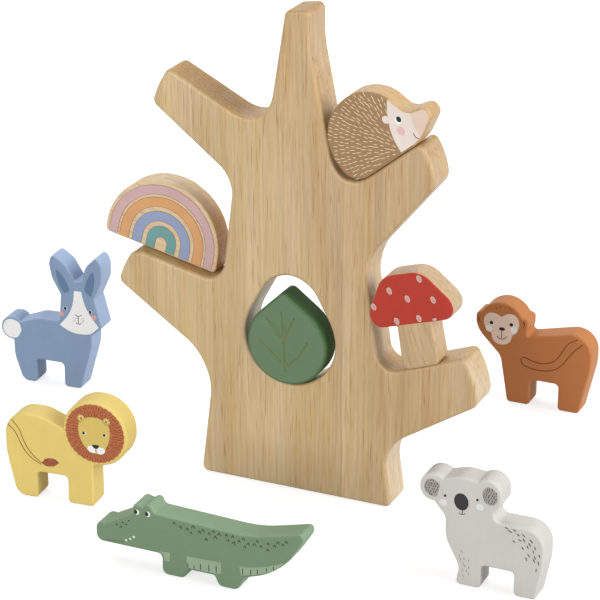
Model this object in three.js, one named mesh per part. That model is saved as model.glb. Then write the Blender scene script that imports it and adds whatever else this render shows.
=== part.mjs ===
// Balancing tree game: a tree cut from one thick wooden board, with nine loose wooden figures.
// Four figures rest on the tree and five animals stand on the floor around it.
// Millimetres, +Z up, the printed faces look along -Y.
// The origin is in the middle of the tree's foot, on the floor.

import * as THREE from 'three';

// Boards
const TREE_THICKNESS = 24;
const TREE_EDGE_ROUND = 3;
const FIGURE_THICKNESS = 16;
const FIGURE_EDGE_ROUND = 1.5;
const SEAT_GAP = 0.3;
const CORNER_GAP = 0.1;

// Trunk: width of the foot, and how far each side leans inwards (degrees)
const FOOT_WIDTH = 126;
const LEFT_SIDE_LEAN = 6.9;
const RIGHT_FOOT_LEAN = 7.6;
const RIGHT_WAIST_HALF_WIDTH = 47.6;
const RIGHT_WAIST_HEIGHT = 130;
const RIGHT_WAIST_LEAN = 9;

// Top branch: a tapering post that stands up from the trunk
const TOP_HEIGHT = 301;
const TOP_WIDTH = 15.6;
const TOP_OFFSET = 1.6;
const TOP_FALL = 2.2;
const TOP_LEFT_LEAN = 9;
const TOP_RIGHT_LEAN = 11.3;
const TOP_RIGHT_STRAIGHT = 21;
const TOP_RIGHT_BEND = 60;

// Side branches: reach and height of the tip's middle, width and lean of the tip,
// and the outward rise (degrees) of the upper and the under edge
const LOWER_LEFT_REACH = 112.3;
const LOWER_LEFT_HEIGHT = 128.4;
const LOWER_LEFT_TIP = 24.9;
const LOWER_LEFT_TIP_LEAN = 26.5;
const LOWER_LEFT_TOP_RISE = 12.8;
const LOWER_LEFT_UNDER_RISE = 34.4;
const UPPER_LEFT_REACH = 86.6;
const UPPER_LEFT_HEIGHT = 245;
const UPPER_LEFT_TIP = 24.7;
const UPPER_LEFT_TIP_LEAN = 26;
const UPPER_LEFT_TOP_RISE = 27.2;
const UPPER_LEFT_UNDER_RISE = 37.8;
const UPPER_RIGHT_REACH = 82.6;
const UPPER_RIGHT_HEIGHT = 219.9;
const UPPER_RIGHT_TIP = 26.6;
const UPPER_RIGHT_TIP_LEAN = 21;
const UPPER_RIGHT_TOP_RISE = 38.4;
const UPPER_RIGHT_UNDER_RISE = 50.6;
const LOWER_RIGHT_REACH = 112;
const LOWER_RIGHT_HEIGHT = 91.4;
const LOWER_RIGHT_TIP = 30.4;
const LOWER_RIGHT_TIP_LEAN = 18.5;
const LOWER_RIGHT_TOP_RISE = 20.4;
const LOWER_RIGHT_UNDER_RISE = 32.4;

// Tree fillets: in the crooks above the branches, in the armpits below them, and on the ends
const LOWER_LEFT_CROOK = 12.5;
const UPPER_LEFT_CROOK = 18;
const UPPER_RIGHT_CROOK = 15.6;
const LOWER_RIGHT_CROOK = 10;
const LOWER_LEFT_ARMPIT = 36;
const UPPER_LEFT_ARMPIT = 20;
const UPPER_RIGHT_ARMPIT = 30;
const LOWER_RIGHT_ARMPIT = 22;
const FOOT_CORNER_ROUND = 4;
const TIP_TOP_ROUND = 4;
const TIP_UNDER_ROUND = 5;
const RIGHT_TIP_UNDER_ROUND = 8;
const DROOPED_TIP_ROUND = 9;

// Branch ends bulge a little at the middle, in one smooth curve
const LEFT_TIP_BULGE = 1;
const RIGHT_TIP_BULGE = 2.2;
const TIP_FACE_ROUND = 40;

// Leaf, and the egg-shaped hollow that it rests in
const LEAF_RADIUS = 25.6;
const LEAF_POINT = 8;
const LEAF_POINT_ROUND = 4;
const LEAF_TILT = 3.8;
const LEAF_PROUD = 2;
const LEAF_ROLL = 16;
const HOLLOW_PLAY = 3.6;
const HOLLOW_TOP_RADIUS = 19.6;
const HOLLOW_RISE = 20.2;
const HOLLOW_OFFSET = -3.6;
const HOLLOW_HEIGHT = 98.5;

// Rainbow: a half round on a short straight skirt
const RAINBOW_RADIUS = 38;
const RAINBOW_SKIRT = 7.8;
const RAINBOW_CORNER_ROUND = 3.5;
const RAINBOW_RECESS = 8;

// Hedgehog: a round back, a flat belly and a pointed snout
const HEDGEHOG_BODY_LENGTH = 52.5;
const HEDGEHOG_BACK_RADIUS = 27.5;
const HEDGEHOG_BACK_RISE = 15.5;
const HEDGEHOG_HEEL_ROUND = 12;
const HEDGEHOG_BROW_ROUND = 16;
const HEDGEHOG_CHEEK_AHEAD = 2.8;
const HEDGEHOG_CHEEK_HEIGHT = 18.4;
const HEDGEHOG_CHEEK_ROUND = 7;
const HEDGEHOG_SNOUT_LENGTH = 15;
const HEDGEHOG_SNOUT_HEIGHT = 15.6;
const HEDGEHOG_SNOUT_DEPTH = 7.4;
const HEDGEHOG_SNOUT_ROUND = 4.5;
const HEDGEHOG_CHIN_ROUND = 20;
const HEDGEHOG_RECESS = 0;

// Mushroom: a cap with sloping shoulders on a stem whose foot is cut on a slant.
// The cap sits a little to the right of the foot
const CAP_HALF_WIDTH = 26.8;
const CAP_TOP_HALF_WIDTH = 12.7;
const CAP_HEIGHT = 31.1;
const CAP_SIDE_HEIGHT = 10.8;
const CAP_OFFSET = 3.2;
const CAP_RIM_ROUND = 7;
const CAP_SIDE_ROUND = 10;
const CAP_TOP_ROUND = 13;
const STEM_HEIGHT = 26.9;
const STEM_FOOT_WIDTH = 24;
const STEM_NECK_WIDTH = 22.5;
const STEM_SLANT = 3.8;
const STEM_ROUND = 3;
const MUSHROOM_RECESS = -3;

// Rounds that the standing animals share
const TOE_ROUND = 2.5;
const ARCH_ROUND = 3;
const NOTCH_ROUND = 1.5;

// Bunny
const BUNNY_ARCH_WIDTH = 20;
const BUNNY_ARCH_HEIGHT = 16.7;
const BUNNY_REAR_FOOT = 10.3;
const BUNNY_FRONT_FOOT = 12;
const BUNNY_HEEL_ROUND = 6;
const BUNNY_RUMP_OVERHANG = 5.8;
const BUNNY_RUMP_HEIGHT = 18;
const BUNNY_RUMP_ROUND = 20;
const BUNNY_TAIL_RADIUS = 8;
const BUNNY_TAIL_HEIGHT = 36.7;
const BUNNY_TAIL_OUT = 8.7;
const BUNNY_TAIL_TURN = 40;
const BUNNY_BACK_HEIGHT = 46.8;
const BUNNY_BACK_LENGTH = 15.7;
const BUNNY_BACK_ROUND = 14;
const BUNNY_CHEST_OVERHANG = 9.2;
const BUNNY_CHEST_HEIGHT = 32;
const BUNNY_CHEST_ROUND = 25;
const BUNNY_CHIN_HEIGHT = 39.5;
const BUNNY_JAW_HEIGHT = 6.5;
const BUNNY_JAW_OVERHANG = 7.6;
const BUNNY_JAW_WIDTH = 31;
const BUNNY_CROWN_HEIGHT = 65.5;
const BUNNY_CROWN_WIDTH = 24.3;
const BUNNY_VALLEY_DEPTH = 10.9;
const BUNNY_VALLEY_WIDTH = 5;
const BUNNY_EAR_LENGTH = 24.7;
const BUNNY_EAR_OUTER = 8;
const BUNNY_EAR_BULGE_HEIGHT = 10;
const BUNNY_EAR_SHOULDER = 5.2;
const BUNNY_EAR_SHOULDER_DROP = 3.6;
const BUNNY_EAR_INNER = 5.8;
const BUNNY_EAR_INNER_DROP = 9.8;
const BUNNY_EAR_ROUND = 10;
const BUNNY_EAR_TIP_ROUND = 2.8;
const BUNNY_EAR_SPREAD = 19.5;
const BUNNY_HEAD_TILT = 5;

// Lion
const LION_ARCH_WIDTH = 19.8;
const LION_ARCH_HEIGHT = 17.4;
const LION_REAR_FOOT = 14;
const LION_FRONT_FOOT = 17;
const LION_HEEL_ROUND = 7;
const LION_RUMP_OVERHANG = 6.2;
const LION_RUMP_SWELL_HEIGHT = 28;
const LION_RUMP_SWELL = 40;
const LION_RUMP_HEIGHT = 55;
const LION_RUMP_ROUND = 15;
const LION_RUMP_LENGTH = 23;
const LION_SADDLE_ROUND = 16;
const LION_HEAD_RADIUS = 20.5;
const LION_HEAD_HEIGHT = 48.9;
const LION_HEAD_AHEAD = 2;
const LION_NAPE_ROUND = 0.5;
const LION_CHEST_ROUND = 4;

// Crocodile
const CROCODILE_ARCH_WIDTH = 16.4;
const CROCODILE_BELLY_HEIGHT = 6.2;
const CROCODILE_FRONT_FOOT = 14;
const CROCODILE_REAR_FOOT = 11.5;
const CROCODILE_FOOT_ROUND = 4;
const CROCODILE_FOOT_SPLAY = 2.6;
const CROCODILE_THROAT_ROUND = 3;
const CROCODILE_JAW_HEIGHT = 12.6;
const CROCODILE_JAW_LENGTH = 42;
const CROCODILE_JAW_ROUND = 4.5;
const CROCODILE_SNOUT_HEIGHT = 25.8;
const CROCODILE_NOSTRIL_LENGTH = 6.4;
const CROCODILE_NOSTRIL_DIP = 1;
const CROCODILE_SNOUT_LENGTH = 24;
const CROCODILE_BROW_HEIGHT = 34.4;
const CROCODILE_EYE_HEIGHT = 41.6;
const CROCODILE_EYE_LENGTH = 6.9;
const CROCODILE_EYE_STEP = 1.7;
const CROCODILE_EYE_DIP = 1.8;
const CROCODILE_EYE_ROUND = 2.8;
const CROCODILE_BACK_HEIGHT = 37.4;
const CROCODILE_BACK_LENGTH = 60;
const CROCODILE_BACK_FALL = 2;
const CROCODILE_BACK_CURVE = 60;
const CROCODILE_TAIL_LENGTH = 32;
const CROCODILE_TAIL_HEIGHT = 43.8;
const CROCODILE_TAIL_END = 5;
const CROCODILE_TAIL_END_ROUND = 2.4;
const CROCODILE_TAIL_KNEE_LENGTH = 14;
const CROCODILE_TAIL_KNEE_HEIGHT = 16.6;
const CROCODILE_TAIL_CURVE = 40;
const CROCODILE_TAIL_ROOT_LENGTH = 4.6;
const CROCODILE_TAIL_ROOT_HEIGHT = 8.8;

// Koala
const KOALA_ARCH_WIDTH = 19.5;
const KOALA_ARCH_HEIGHT = 14.6;
const KOALA_FRONT_FOOT = 15;
const KOALA_REAR_FOOT = 13;
const KOALA_ANKLE_HEIGHT = 11;
const KOALA_ANKLE_TUCK = 1.8;
const KOALA_ANKLE_ROUND = 8;
const KOALA_CHEST_OVERHANG = 6.8;
const KOALA_CHEST_HEIGHT = 28;
const KOALA_CHEST_ROUND = 18;
const KOALA_NECK_HEIGHT = 40.8;
const KOALA_NECK_ROUND = 6;
const KOALA_EAR_RADIUS = 8.6;
const KOALA_EAR_HEIGHT = 57.6;
const KOALA_EAR_SPAN = 31.6;
const KOALA_HEAD_BACK = 8.7;
const KOALA_HEAD_TILT = 3.6;
const KOALA_EAR_TURN = 50;
const KOALA_CROWN_ROUND = 14;
const KOALA_EAR_LOBE = 5;
const KOALA_NAPE_RISE = 6;
const KOALA_NAPE_TUCK = 4.2;
const KOALA_NAPE_ROUND = 4;
const KOALA_BACK_HEIGHT = 43.4;
const KOALA_RUMP_OVERHANG = 4.4;
const KOALA_RUMP_SWELL_HEIGHT = 23;
const KOALA_RUMP_SWELL = 30;
const KOALA_RUMP_ROUND = 12;

// Monkey
const MONKEY_ARCH_WIDTH = 19.1;
const MONKEY_ARCH_HEIGHT = 18;
const MONKEY_FRONT_FOOT = 15.5;
const MONKEY_REAR_FOOT = 14.3;
const MONKEY_CHEST_OVERHANG = 5.4;
const MONKEY_CHEST_ROUND = 9;
const MONKEY_HEAD_RADIUS = 15.7;
const MONKEY_HEAD_HEIGHT = 53;
const MONKEY_HEAD_BACK = 0.5;
const MONKEY_EAR_OUT = 2.2;
const MONKEY_EAR_LENGTH = 6.5;
const MONKEY_EAR_DROP = 1.2;
const MONKEY_EAR_ROUND = 2.4;
const MONKEY_EAR_TURN = 28;
const MONKEY_NAPE_HEIGHT = 47.2;
const MONKEY_NAPE_ROUND = 3;
const MONKEY_RUMP_OVERHANG = 7.4;
const MONKEY_RUMP_SWELL_HEIGHT = 33;
const MONKEY_RUMP_SWELL = 40;
const MONKEY_RUMP_HEIGHT = 54.6;
const MONKEY_RUMP_ROUND = 14;
const MONKEY_RUMP_LENGTH = 15;

// Where the animals stand: the middle of each leg arch, and how far it is turned (degrees)
const BUNNY_SPOT = [-211.8, 70.3];
const BUNNY_TURN = 4;
const LION_SPOT = [-126.7, -77.3];
const LION_TURN = 4.5;
const CROCODILE_SPOT = [0.3, -132.3];
const KOALA_SPOT = [155.8, -74.7];
const MONKEY_SPOT = [98.8, 169];

// Smoothness of the faceted arcs (degrees) and of the rounded edges, and the shortest side kept
const ARC_STEP = 15;
const EDGE_STEPS = 2;
const SHORTEST_SIDE = 0.2;

const { degToRad } = THREE.MathUtils;

// A straight line through a point, at an angle from +X; its normal points to its left
function lineAt([x, z], degrees) {
  const direction = new THREE.Vector2(1, 0).rotateAround(new THREE.Vector2(), degToRad(degrees));
  const normal = new THREE.Vector2(-direction.y, direction.x);
  return { point: new THREE.Vector2(x, z), direction, normal };
}

// The point where two lines cross
function crossing(first, second) {
  const apart = second.point.clone().sub(first.point);
  const along = apart.cross(second.direction) / first.direction.cross(second.direction);
  return first.direction.clone().multiplyScalar(along).add(first.point).toArray();
}

// How far a fillet between two edges reaches along them from their corner
function filletReach(fillet, before, after) {
  return fillet / Math.tan(Math.acos(before.dot(after) / (before.length() * after.length())) / 2);
}

// A closed outline from corners [x, z, fillet]; a fillet shrinks where its edges have no room for it
function roundedOutline(corners) {
  const turns = corners.map(([x, z, fillet], index) => {
    const [beforeX, beforeZ] = corners.at(index - 1);
    const [afterX, afterZ] = corners[(index + 1) % corners.length];
    const before = new THREE.Vector2(beforeX - x, beforeZ - z);
    const after = new THREE.Vector2(afterX - x, afterZ - z);
    return { corner: new THREE.Vector2(x, z), before, after, reach: filletReach(fillet, before, after) };
  });
  const points = [];
  turns.forEach(({ corner, before, after, reach }, index) => {
    const roomBefore = before.length() / (reach + turns.at(index - 1).reach);
    const roomAfter = after.length() / (reach + turns[(index + 1) % turns.length].reach);
    const fitted = reach * Math.min(1, roomBefore, roomAfter);
    const start = before.clone().setLength(fitted);
    const end = after.clone().setLength(fitted);
    const halfAngle = start.angleTo(end) / 2;
    const centre = start.clone().add(end).setLength(fitted / Math.cos(halfAngle)).add(corner);
    const arm = start.add(corner).sub(centre);
    const sweep = (Math.PI - 2 * halfAngle) * Math.sign(after.cross(before));
    const steps = Math.ceil(Math.abs(sweep) / degToRad(ARC_STEP));
    for (let step = 0; step <= steps; step += 1) {
      points.push(arm.clone().rotateAround(new THREE.Vector2(), (sweep * step) / steps).add(centre));
    }
  });
  return points.filter((point, index) => point.distanceTo(points.at(index - 1)) > SHORTEST_SIDE);
}

// A board cut to an outline, standing upright, centred on its thickness, with rounded edges
function board(outline, thickness, edgeRound, holes = []) {
  const shape = new THREE.Shape(outline);
  shape.holes = holes.map((hole) => new THREE.Path(hole));
  const geometry = new THREE.ExtrudeGeometry(shape, {
    depth: thickness - 2 * edgeRound,
    bevelThickness: edgeRound,
    bevelSize: edgeRound,
    bevelOffset: -edgeRound,
    bevelSegments: EDGE_STEPS,
  });
  geometry.translate(0, 0, edgeRound - thickness / 2);
  geometry.rotateX(Math.PI / 2);
  return geometry;
}

function namedMesh(name, geometry, color, roughness) {
  const mesh = new THREE.Mesh(geometry, new THREE.MeshStandardMaterial({ color, roughness, metalness: 0 }));
  mesh.name = name;
  return mesh;
}

function figure(name, corners, color, roughness) {
  const geometry = board(roundedOutline(corners), FIGURE_THICKNESS, FIGURE_EDGE_ROUND);
  return namedMesh(name, geometry, color, roughness);
}

// The middle of a figure's thickness when its face lies this far behind the tree's face
function behindTreeFace(recess) {
  return (FIGURE_THICKNESS - TREE_THICKNESS) / 2 + recess;
}

// A side branch: the corners of its tip and the lines of its upper and under edges
function branch(side, reach, height, tip, tipLean, tipBulge, topRise, underRise) {
  const across = Math.sin(degToRad(tipLean));
  const up = Math.cos(degToRad(tipLean));
  const tipTop = [side * (reach - (tip / 2) * across), height + (tip / 2) * up];
  const tipMiddle = [side * (reach + tipBulge * up), height + tipBulge * across];
  const tipUnder = [side * (reach + (tip / 2) * across), height - (tip / 2) * up];
  const top = lineAt(tipTop, side * topRise);
  const under = lineAt(tipUnder, side * underRise);
  return { tipTop, tipMiddle, tipUnder, top, under };
}

const lowerLeft = branch(-1, LOWER_LEFT_REACH, LOWER_LEFT_HEIGHT, LOWER_LEFT_TIP, LOWER_LEFT_TIP_LEAN,
  LEFT_TIP_BULGE, LOWER_LEFT_TOP_RISE, LOWER_LEFT_UNDER_RISE);
const upperLeft = branch(-1, UPPER_LEFT_REACH, UPPER_LEFT_HEIGHT, UPPER_LEFT_TIP, UPPER_LEFT_TIP_LEAN,
  LEFT_TIP_BULGE, UPPER_LEFT_TOP_RISE, UPPER_LEFT_UNDER_RISE);
const upperRight = branch(1, UPPER_RIGHT_REACH, UPPER_RIGHT_HEIGHT, UPPER_RIGHT_TIP, UPPER_RIGHT_TIP_LEAN,
  RIGHT_TIP_BULGE, UPPER_RIGHT_TOP_RISE, UPPER_RIGHT_UNDER_RISE);
const lowerRight = branch(1, LOWER_RIGHT_REACH, LOWER_RIGHT_HEIGHT, LOWER_RIGHT_TIP, LOWER_RIGHT_TIP_LEAN,
  RIGHT_TIP_BULGE, LOWER_RIGHT_TOP_RISE, LOWER_RIGHT_UNDER_RISE);

// The sides of the trunk and of the top branch
const topLeft = [TOP_OFFSET - TOP_WIDTH / 2, TOP_HEIGHT - TOP_FALL];
const topRight = [TOP_OFFSET + TOP_WIDTH / 2, TOP_HEIGHT];
const topRightBend = [topRight[0], TOP_HEIGHT - TOP_RIGHT_STRAIGHT];
const leftSide = lineAt([-FOOT_WIDTH / 2, 0], 90 - LEFT_SIDE_LEAN);
const rightFootSide = lineAt([FOOT_WIDTH / 2, 0], 90 + RIGHT_FOOT_LEAN);
const rightWaistSide = lineAt([RIGHT_WAIST_HALF_WIDTH, RIGHT_WAIST_HEIGHT], 90 + RIGHT_WAIST_LEAN);
const topLeftSide = lineAt(topLeft, 90 - TOP_LEFT_LEAN);
const topRightSide = lineAt(topRightBend, 90 + TOP_RIGHT_LEAN);
const lowerLeftCrook = crossing(lowerLeft.top, leftSide);

// The egg-shaped hollow: a large circle below and a small one above, joined by their common tangents
const hollowRadius = LEAF_RADIUS + HOLLOW_PLAY;

function hollowOutline() {
  const slope = Math.asin((hollowRadius - HOLLOW_TOP_RADIUS) / HOLLOW_RISE);
  const arc = (radius, height, from, to) => {
    const curve = new THREE.EllipseCurve(HOLLOW_OFFSET, height, radius, radius, from, to);
    return curve.getPoints(Math.ceil((to - from) / degToRad(ARC_STEP)));
  };
  return [
    ...arc(hollowRadius, HOLLOW_HEIGHT, Math.PI - slope, 2 * Math.PI + slope),
    ...arc(HOLLOW_TOP_RADIUS, HOLLOW_HEIGHT + HOLLOW_RISE, slope, Math.PI - slope),
  ];
}

function tree() {
  const outline = roundedOutline([
    [-FOOT_WIDTH / 2, 0, FOOT_CORNER_ROUND],
    [...crossing(leftSide, lowerLeft.under), LOWER_LEFT_ARMPIT],
    [...lowerLeft.tipUnder, TIP_UNDER_ROUND],
    [...lowerLeft.tipMiddle, TIP_FACE_ROUND],
    [...lowerLeft.tipTop, DROOPED_TIP_ROUND],
    [...lowerLeftCrook, LOWER_LEFT_CROOK],
    [...crossing(leftSide, upperLeft.under), UPPER_LEFT_ARMPIT],
    [...upperLeft.tipUnder, TIP_UNDER_ROUND],
    [...upperLeft.tipMiddle, TIP_FACE_ROUND],
    [...upperLeft.tipTop, TIP_TOP_ROUND],
    [...crossing(upperLeft.top, topLeftSide), UPPER_LEFT_CROOK],
    [...topLeft, TIP_TOP_ROUND],
    [...topRight, TIP_TOP_ROUND],
    [...topRightBend, TOP_RIGHT_BEND],
    [...crossing(topRightSide, upperRight.top), UPPER_RIGHT_CROOK],
    [...upperRight.tipTop, TIP_TOP_ROUND],
    [...upperRight.tipMiddle, TIP_FACE_ROUND],
    [...upperRight.tipUnder, RIGHT_TIP_UNDER_ROUND],
    [...crossing(upperRight.under, rightWaistSide), UPPER_RIGHT_ARMPIT],
    [...crossing(rightWaistSide, lowerRight.top), LOWER_RIGHT_CROOK],
    [...lowerRight.tipTop, TIP_TOP_ROUND],
    [...lowerRight.tipMiddle, TIP_FACE_ROUND],
    [...lowerRight.tipUnder, RIGHT_TIP_UNDER_ROUND],
    [...crossing(lowerRight.under, rightFootSide), LOWER_RIGHT_ARMPIT],
    [FOOT_WIDTH / 2, 0, FOOT_CORNER_ROUND],
  ]);
  const geometry = board(outline, TREE_THICKNESS, TREE_EDGE_ROUND, [hollowOutline()]);
  return namedMesh('tree', geometry, '#cdb48c', 0.5);
}

// A round leaf drawn up to a point, which rests on the floor of the hollow, a little to the left
function leaf() {
  const apex = LEAF_RADIUS + LEAF_POINT;
  const spread = (apex + LEAF_RADIUS) * Math.tan(Math.asin(LEAF_RADIUS / apex));
  const mesh = figure('leaf', [
    [0, apex, LEAF_POINT_ROUND],
    [spread, -LEAF_RADIUS, LEAF_RADIUS],
    [-spread, -LEAF_RADIUS, LEAF_RADIUS],
  ], '#6b8660', 0.55);
  const roll = degToRad(LEAF_ROLL);
  const drop = HOLLOW_PLAY - SEAT_GAP;
  mesh.position.x = HOLLOW_OFFSET - drop * Math.sin(roll);
  mesh.position.y = behindTreeFace(-LEAF_PROUD);
  mesh.position.z = HOLLOW_HEIGHT - drop * Math.cos(roll);
  mesh.rotation.y = -degToRad(LEAF_TILT);
  return mesh;
}

// How far past the start of a crook's curve a figure's rounded corner can reach
function nestle(crook, corner) {
  const room = crook - corner;
  return Math.sqrt(Math.max(0, (room - CORNER_GAP) ** 2 - (room - SEAT_GAP) ** 2));
}

// A half round whose flat base lies on the lower left branch, with its inner corner well into the crook
function rainbow() {
  const top = RAINBOW_SKIRT + RAINBOW_RADIUS;
  const mesh = figure('rainbow', [
    [-RAINBOW_RADIUS, 0, RAINBOW_CORNER_ROUND],
    [-RAINBOW_RADIUS, top, RAINBOW_RADIUS],
    [RAINBOW_RADIUS, top, RAINBOW_RADIUS],
    [RAINBOW_RADIUS, 0, RAINBOW_CORNER_ROUND],
  ], '#d8bf95', 0.5);
  const { direction, normal } = lowerLeft.top;
  const outward = direction.clone().negate();
  const crookReach = filletReach(LOWER_LEFT_CROOK, outward, leftSide.direction);
  const cornerReach = nestle(LOWER_LEFT_CROOK, RAINBOW_CORNER_ROUND);
  const seat = new THREE.Vector2(...lowerLeftCrook)
    .addScaledVector(outward, crookReach - cornerReach + RAINBOW_RADIUS - RAINBOW_CORNER_ROUND)
    .addScaledVector(normal, SEAT_GAP);
  mesh.position.set(seat.x, behindTreeFace(RAINBOW_RECESS), seat.y);
  mesh.rotation.y = degToRad(LOWER_LEFT_TOP_RISE);
  return mesh;
}

// Stands a figure on a branch's upper edge, as near the trunk as a round of it and its foot can go
function seatAgainst(mesh, seat, side, crook, lean, round, foot) {
  const start = new THREE.Vector2(...crossing(seat, side)).addScaledVector(seat.normal, SEAT_GAP);
  const centre = new THREE.Vector2(...round.centre).rotateAround(new THREE.Vector2(), degToRad(lean));
  const clear = side.point.clone().sub(centre.add(start)).dot(side.normal);
  const toSide = (round.radius + SEAT_GAP - clear) / -seat.direction.dot(side.normal);
  const toCrook = filletReach(crook, seat.direction, side.direction) - nestle(crook, foot.round) - foot.start;
  const spot = start.addScaledVector(seat.direction, Math.max(toSide, toCrook));
  mesh.position.x = spot.x;
  mesh.position.z = spot.y;
  mesh.rotation.y = -degToRad(lean);
}

// The hedgehog's belly lies on the upper right branch and its back leans on the top branch
function hedgehog() {
  const height = HEDGEHOG_BACK_RISE + HEDGEHOG_BACK_RADIUS;
  const noseTip = HEDGEHOG_BODY_LENGTH + HEDGEHOG_SNOUT_LENGTH;
  const noseUnder = HEDGEHOG_SNOUT_HEIGHT - HEDGEHOG_SNOUT_DEPTH;
  const mesh = figure('hedgehog', [
    [0, 0, HEDGEHOG_HEEL_ROUND],
    [0, height, HEDGEHOG_BACK_RADIUS],
    [HEDGEHOG_BODY_LENGTH, height, HEDGEHOG_BROW_ROUND],
    [HEDGEHOG_BODY_LENGTH + HEDGEHOG_CHEEK_AHEAD, HEDGEHOG_CHEEK_HEIGHT, HEDGEHOG_CHEEK_ROUND],
    [noseTip, HEDGEHOG_SNOUT_HEIGHT, HEDGEHOG_SNOUT_ROUND],
    [noseTip, noseUnder, HEDGEHOG_SNOUT_ROUND],
    [HEDGEHOG_BODY_LENGTH, 0, HEDGEHOG_CHIN_ROUND],
  ], '#a8845c', 0.55);
  mesh.position.y = behindTreeFace(HEDGEHOG_RECESS);
  const back = { centre: [HEDGEHOG_BACK_RADIUS, HEDGEHOG_BACK_RISE], radius: HEDGEHOG_BACK_RADIUS };
  const heel = { start: HEDGEHOG_HEEL_ROUND, round: HEDGEHOG_HEEL_ROUND };
  seatAgainst(mesh, upperRight.top, topRightSide, UPPER_RIGHT_CROOK, UPPER_RIGHT_TOP_RISE, back, heel);
  return mesh;
}

// The mushroom stands on the lower right branch and its cap leans on the trunk
function mushroom() {
  const left = CAP_OFFSET - CAP_HALF_WIDTH;
  const right = CAP_OFFSET + CAP_HALF_WIDTH;
  const capSide = STEM_HEIGHT + CAP_SIDE_HEIGHT;
  const capTop = STEM_HEIGHT + CAP_HEIGHT;
  const footDrop = (STEM_FOOT_WIDTH / 2) * Math.tan(degToRad(STEM_SLANT));
  const corners = [
    [-STEM_FOOT_WIDTH / 2, -footDrop, STEM_ROUND],
    [CAP_OFFSET - STEM_NECK_WIDTH / 2, STEM_HEIGHT, NOTCH_ROUND],
    [left, STEM_HEIGHT, CAP_RIM_ROUND],
    [left, capSide, CAP_SIDE_ROUND],
    [CAP_OFFSET - CAP_TOP_HALF_WIDTH, capTop, CAP_TOP_ROUND],
    [CAP_OFFSET + CAP_TOP_HALF_WIDTH, capTop, CAP_TOP_ROUND],
    [right, capSide, CAP_SIDE_ROUND],
    [right, STEM_HEIGHT, CAP_RIM_ROUND],
    [CAP_OFFSET + STEM_NECK_WIDTH / 2, STEM_HEIGHT, NOTCH_ROUND],
    [STEM_FOOT_WIDTH / 2, footDrop, STEM_ROUND],
  ];
  const footMiddle = new THREE.Vector2();
  const lean = ([x, z]) => new THREE.Vector2(x, z).rotateAround(footMiddle, -degToRad(STEM_SLANT)).toArray();
  const mesh = figure('mushroom', corners.map((corner) => [...lean(corner), corner[2]]), '#b8493a', 0.55);
  mesh.position.y = behindTreeFace(MUSHROOM_RECESS);
  const shoulderTurn = Math.atan2(CAP_HALF_WIDTH - CAP_TOP_HALF_WIDTH, CAP_HEIGHT - CAP_SIDE_HEIGHT);
  const shoulderReach = CAP_SIDE_ROUND * Math.tan(shoulderTurn / 2);
  const shoulder = { centre: lean([left + CAP_SIDE_ROUND, capSide - shoulderReach]), radius: CAP_SIDE_ROUND };
  const stem = { start: lean(corners[0])[0], round: 0 };
  seatAgainst(mesh, lowerRight.top, rightWaistSide, LOWER_RIGHT_CROOK, LOWER_RIGHT_TOP_RISE, shoulder, stem);
  return mesh;
}

// The open arch between an animal's legs, walked from its right foot to its left one
function legArch(width, height) {
  return [
    [width / 2, 0, TOE_ROUND],
    [width / 2, height, ARCH_ROUND],
    [-width / 2, height, ARCH_ROUND],
    [-width / 2, 0, TOE_ROUND],
  ];
}

// The corner above a circle where its top tangent meets its tangent at a turn (degrees) above level
function crownCorner(radius, turn) {
  return radius * Math.tan(degToRad(45 - turn / 2));
}

// Stands an animal on the floor
function stand(mesh, [x, y], turn = 0) {
  mesh.position.set(x, y, 0);
  mesh.rotation.z = degToRad(turn);
  return mesh;
}

// One upright ear: its outer bulge, shoulder, tip and inner side, from the middle of its root
function bunnyEar([rootX, rootZ], lean, outerSide) {
  const at = (outward, up, round) => {
    const point = new THREE.Vector2(outerSide * outward, up);
    point.rotateAround(new THREE.Vector2(), -degToRad(lean));
    return [rootX + point.x, rootZ + point.y, round];
  };
  return [
    at(BUNNY_EAR_OUTER, BUNNY_EAR_BULGE_HEIGHT, BUNNY_EAR_ROUND),
    at(BUNNY_EAR_SHOULDER, BUNNY_EAR_LENGTH - BUNNY_EAR_SHOULDER_DROP, BUNNY_EAR_ROUND),
    at(0, BUNNY_EAR_LENGTH, BUNNY_EAR_TIP_ROUND),
    at(-BUNNY_EAR_INNER, BUNNY_EAR_LENGTH - BUNNY_EAR_INNER_DROP, BUNNY_EAR_ROUND),
  ];
}

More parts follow.
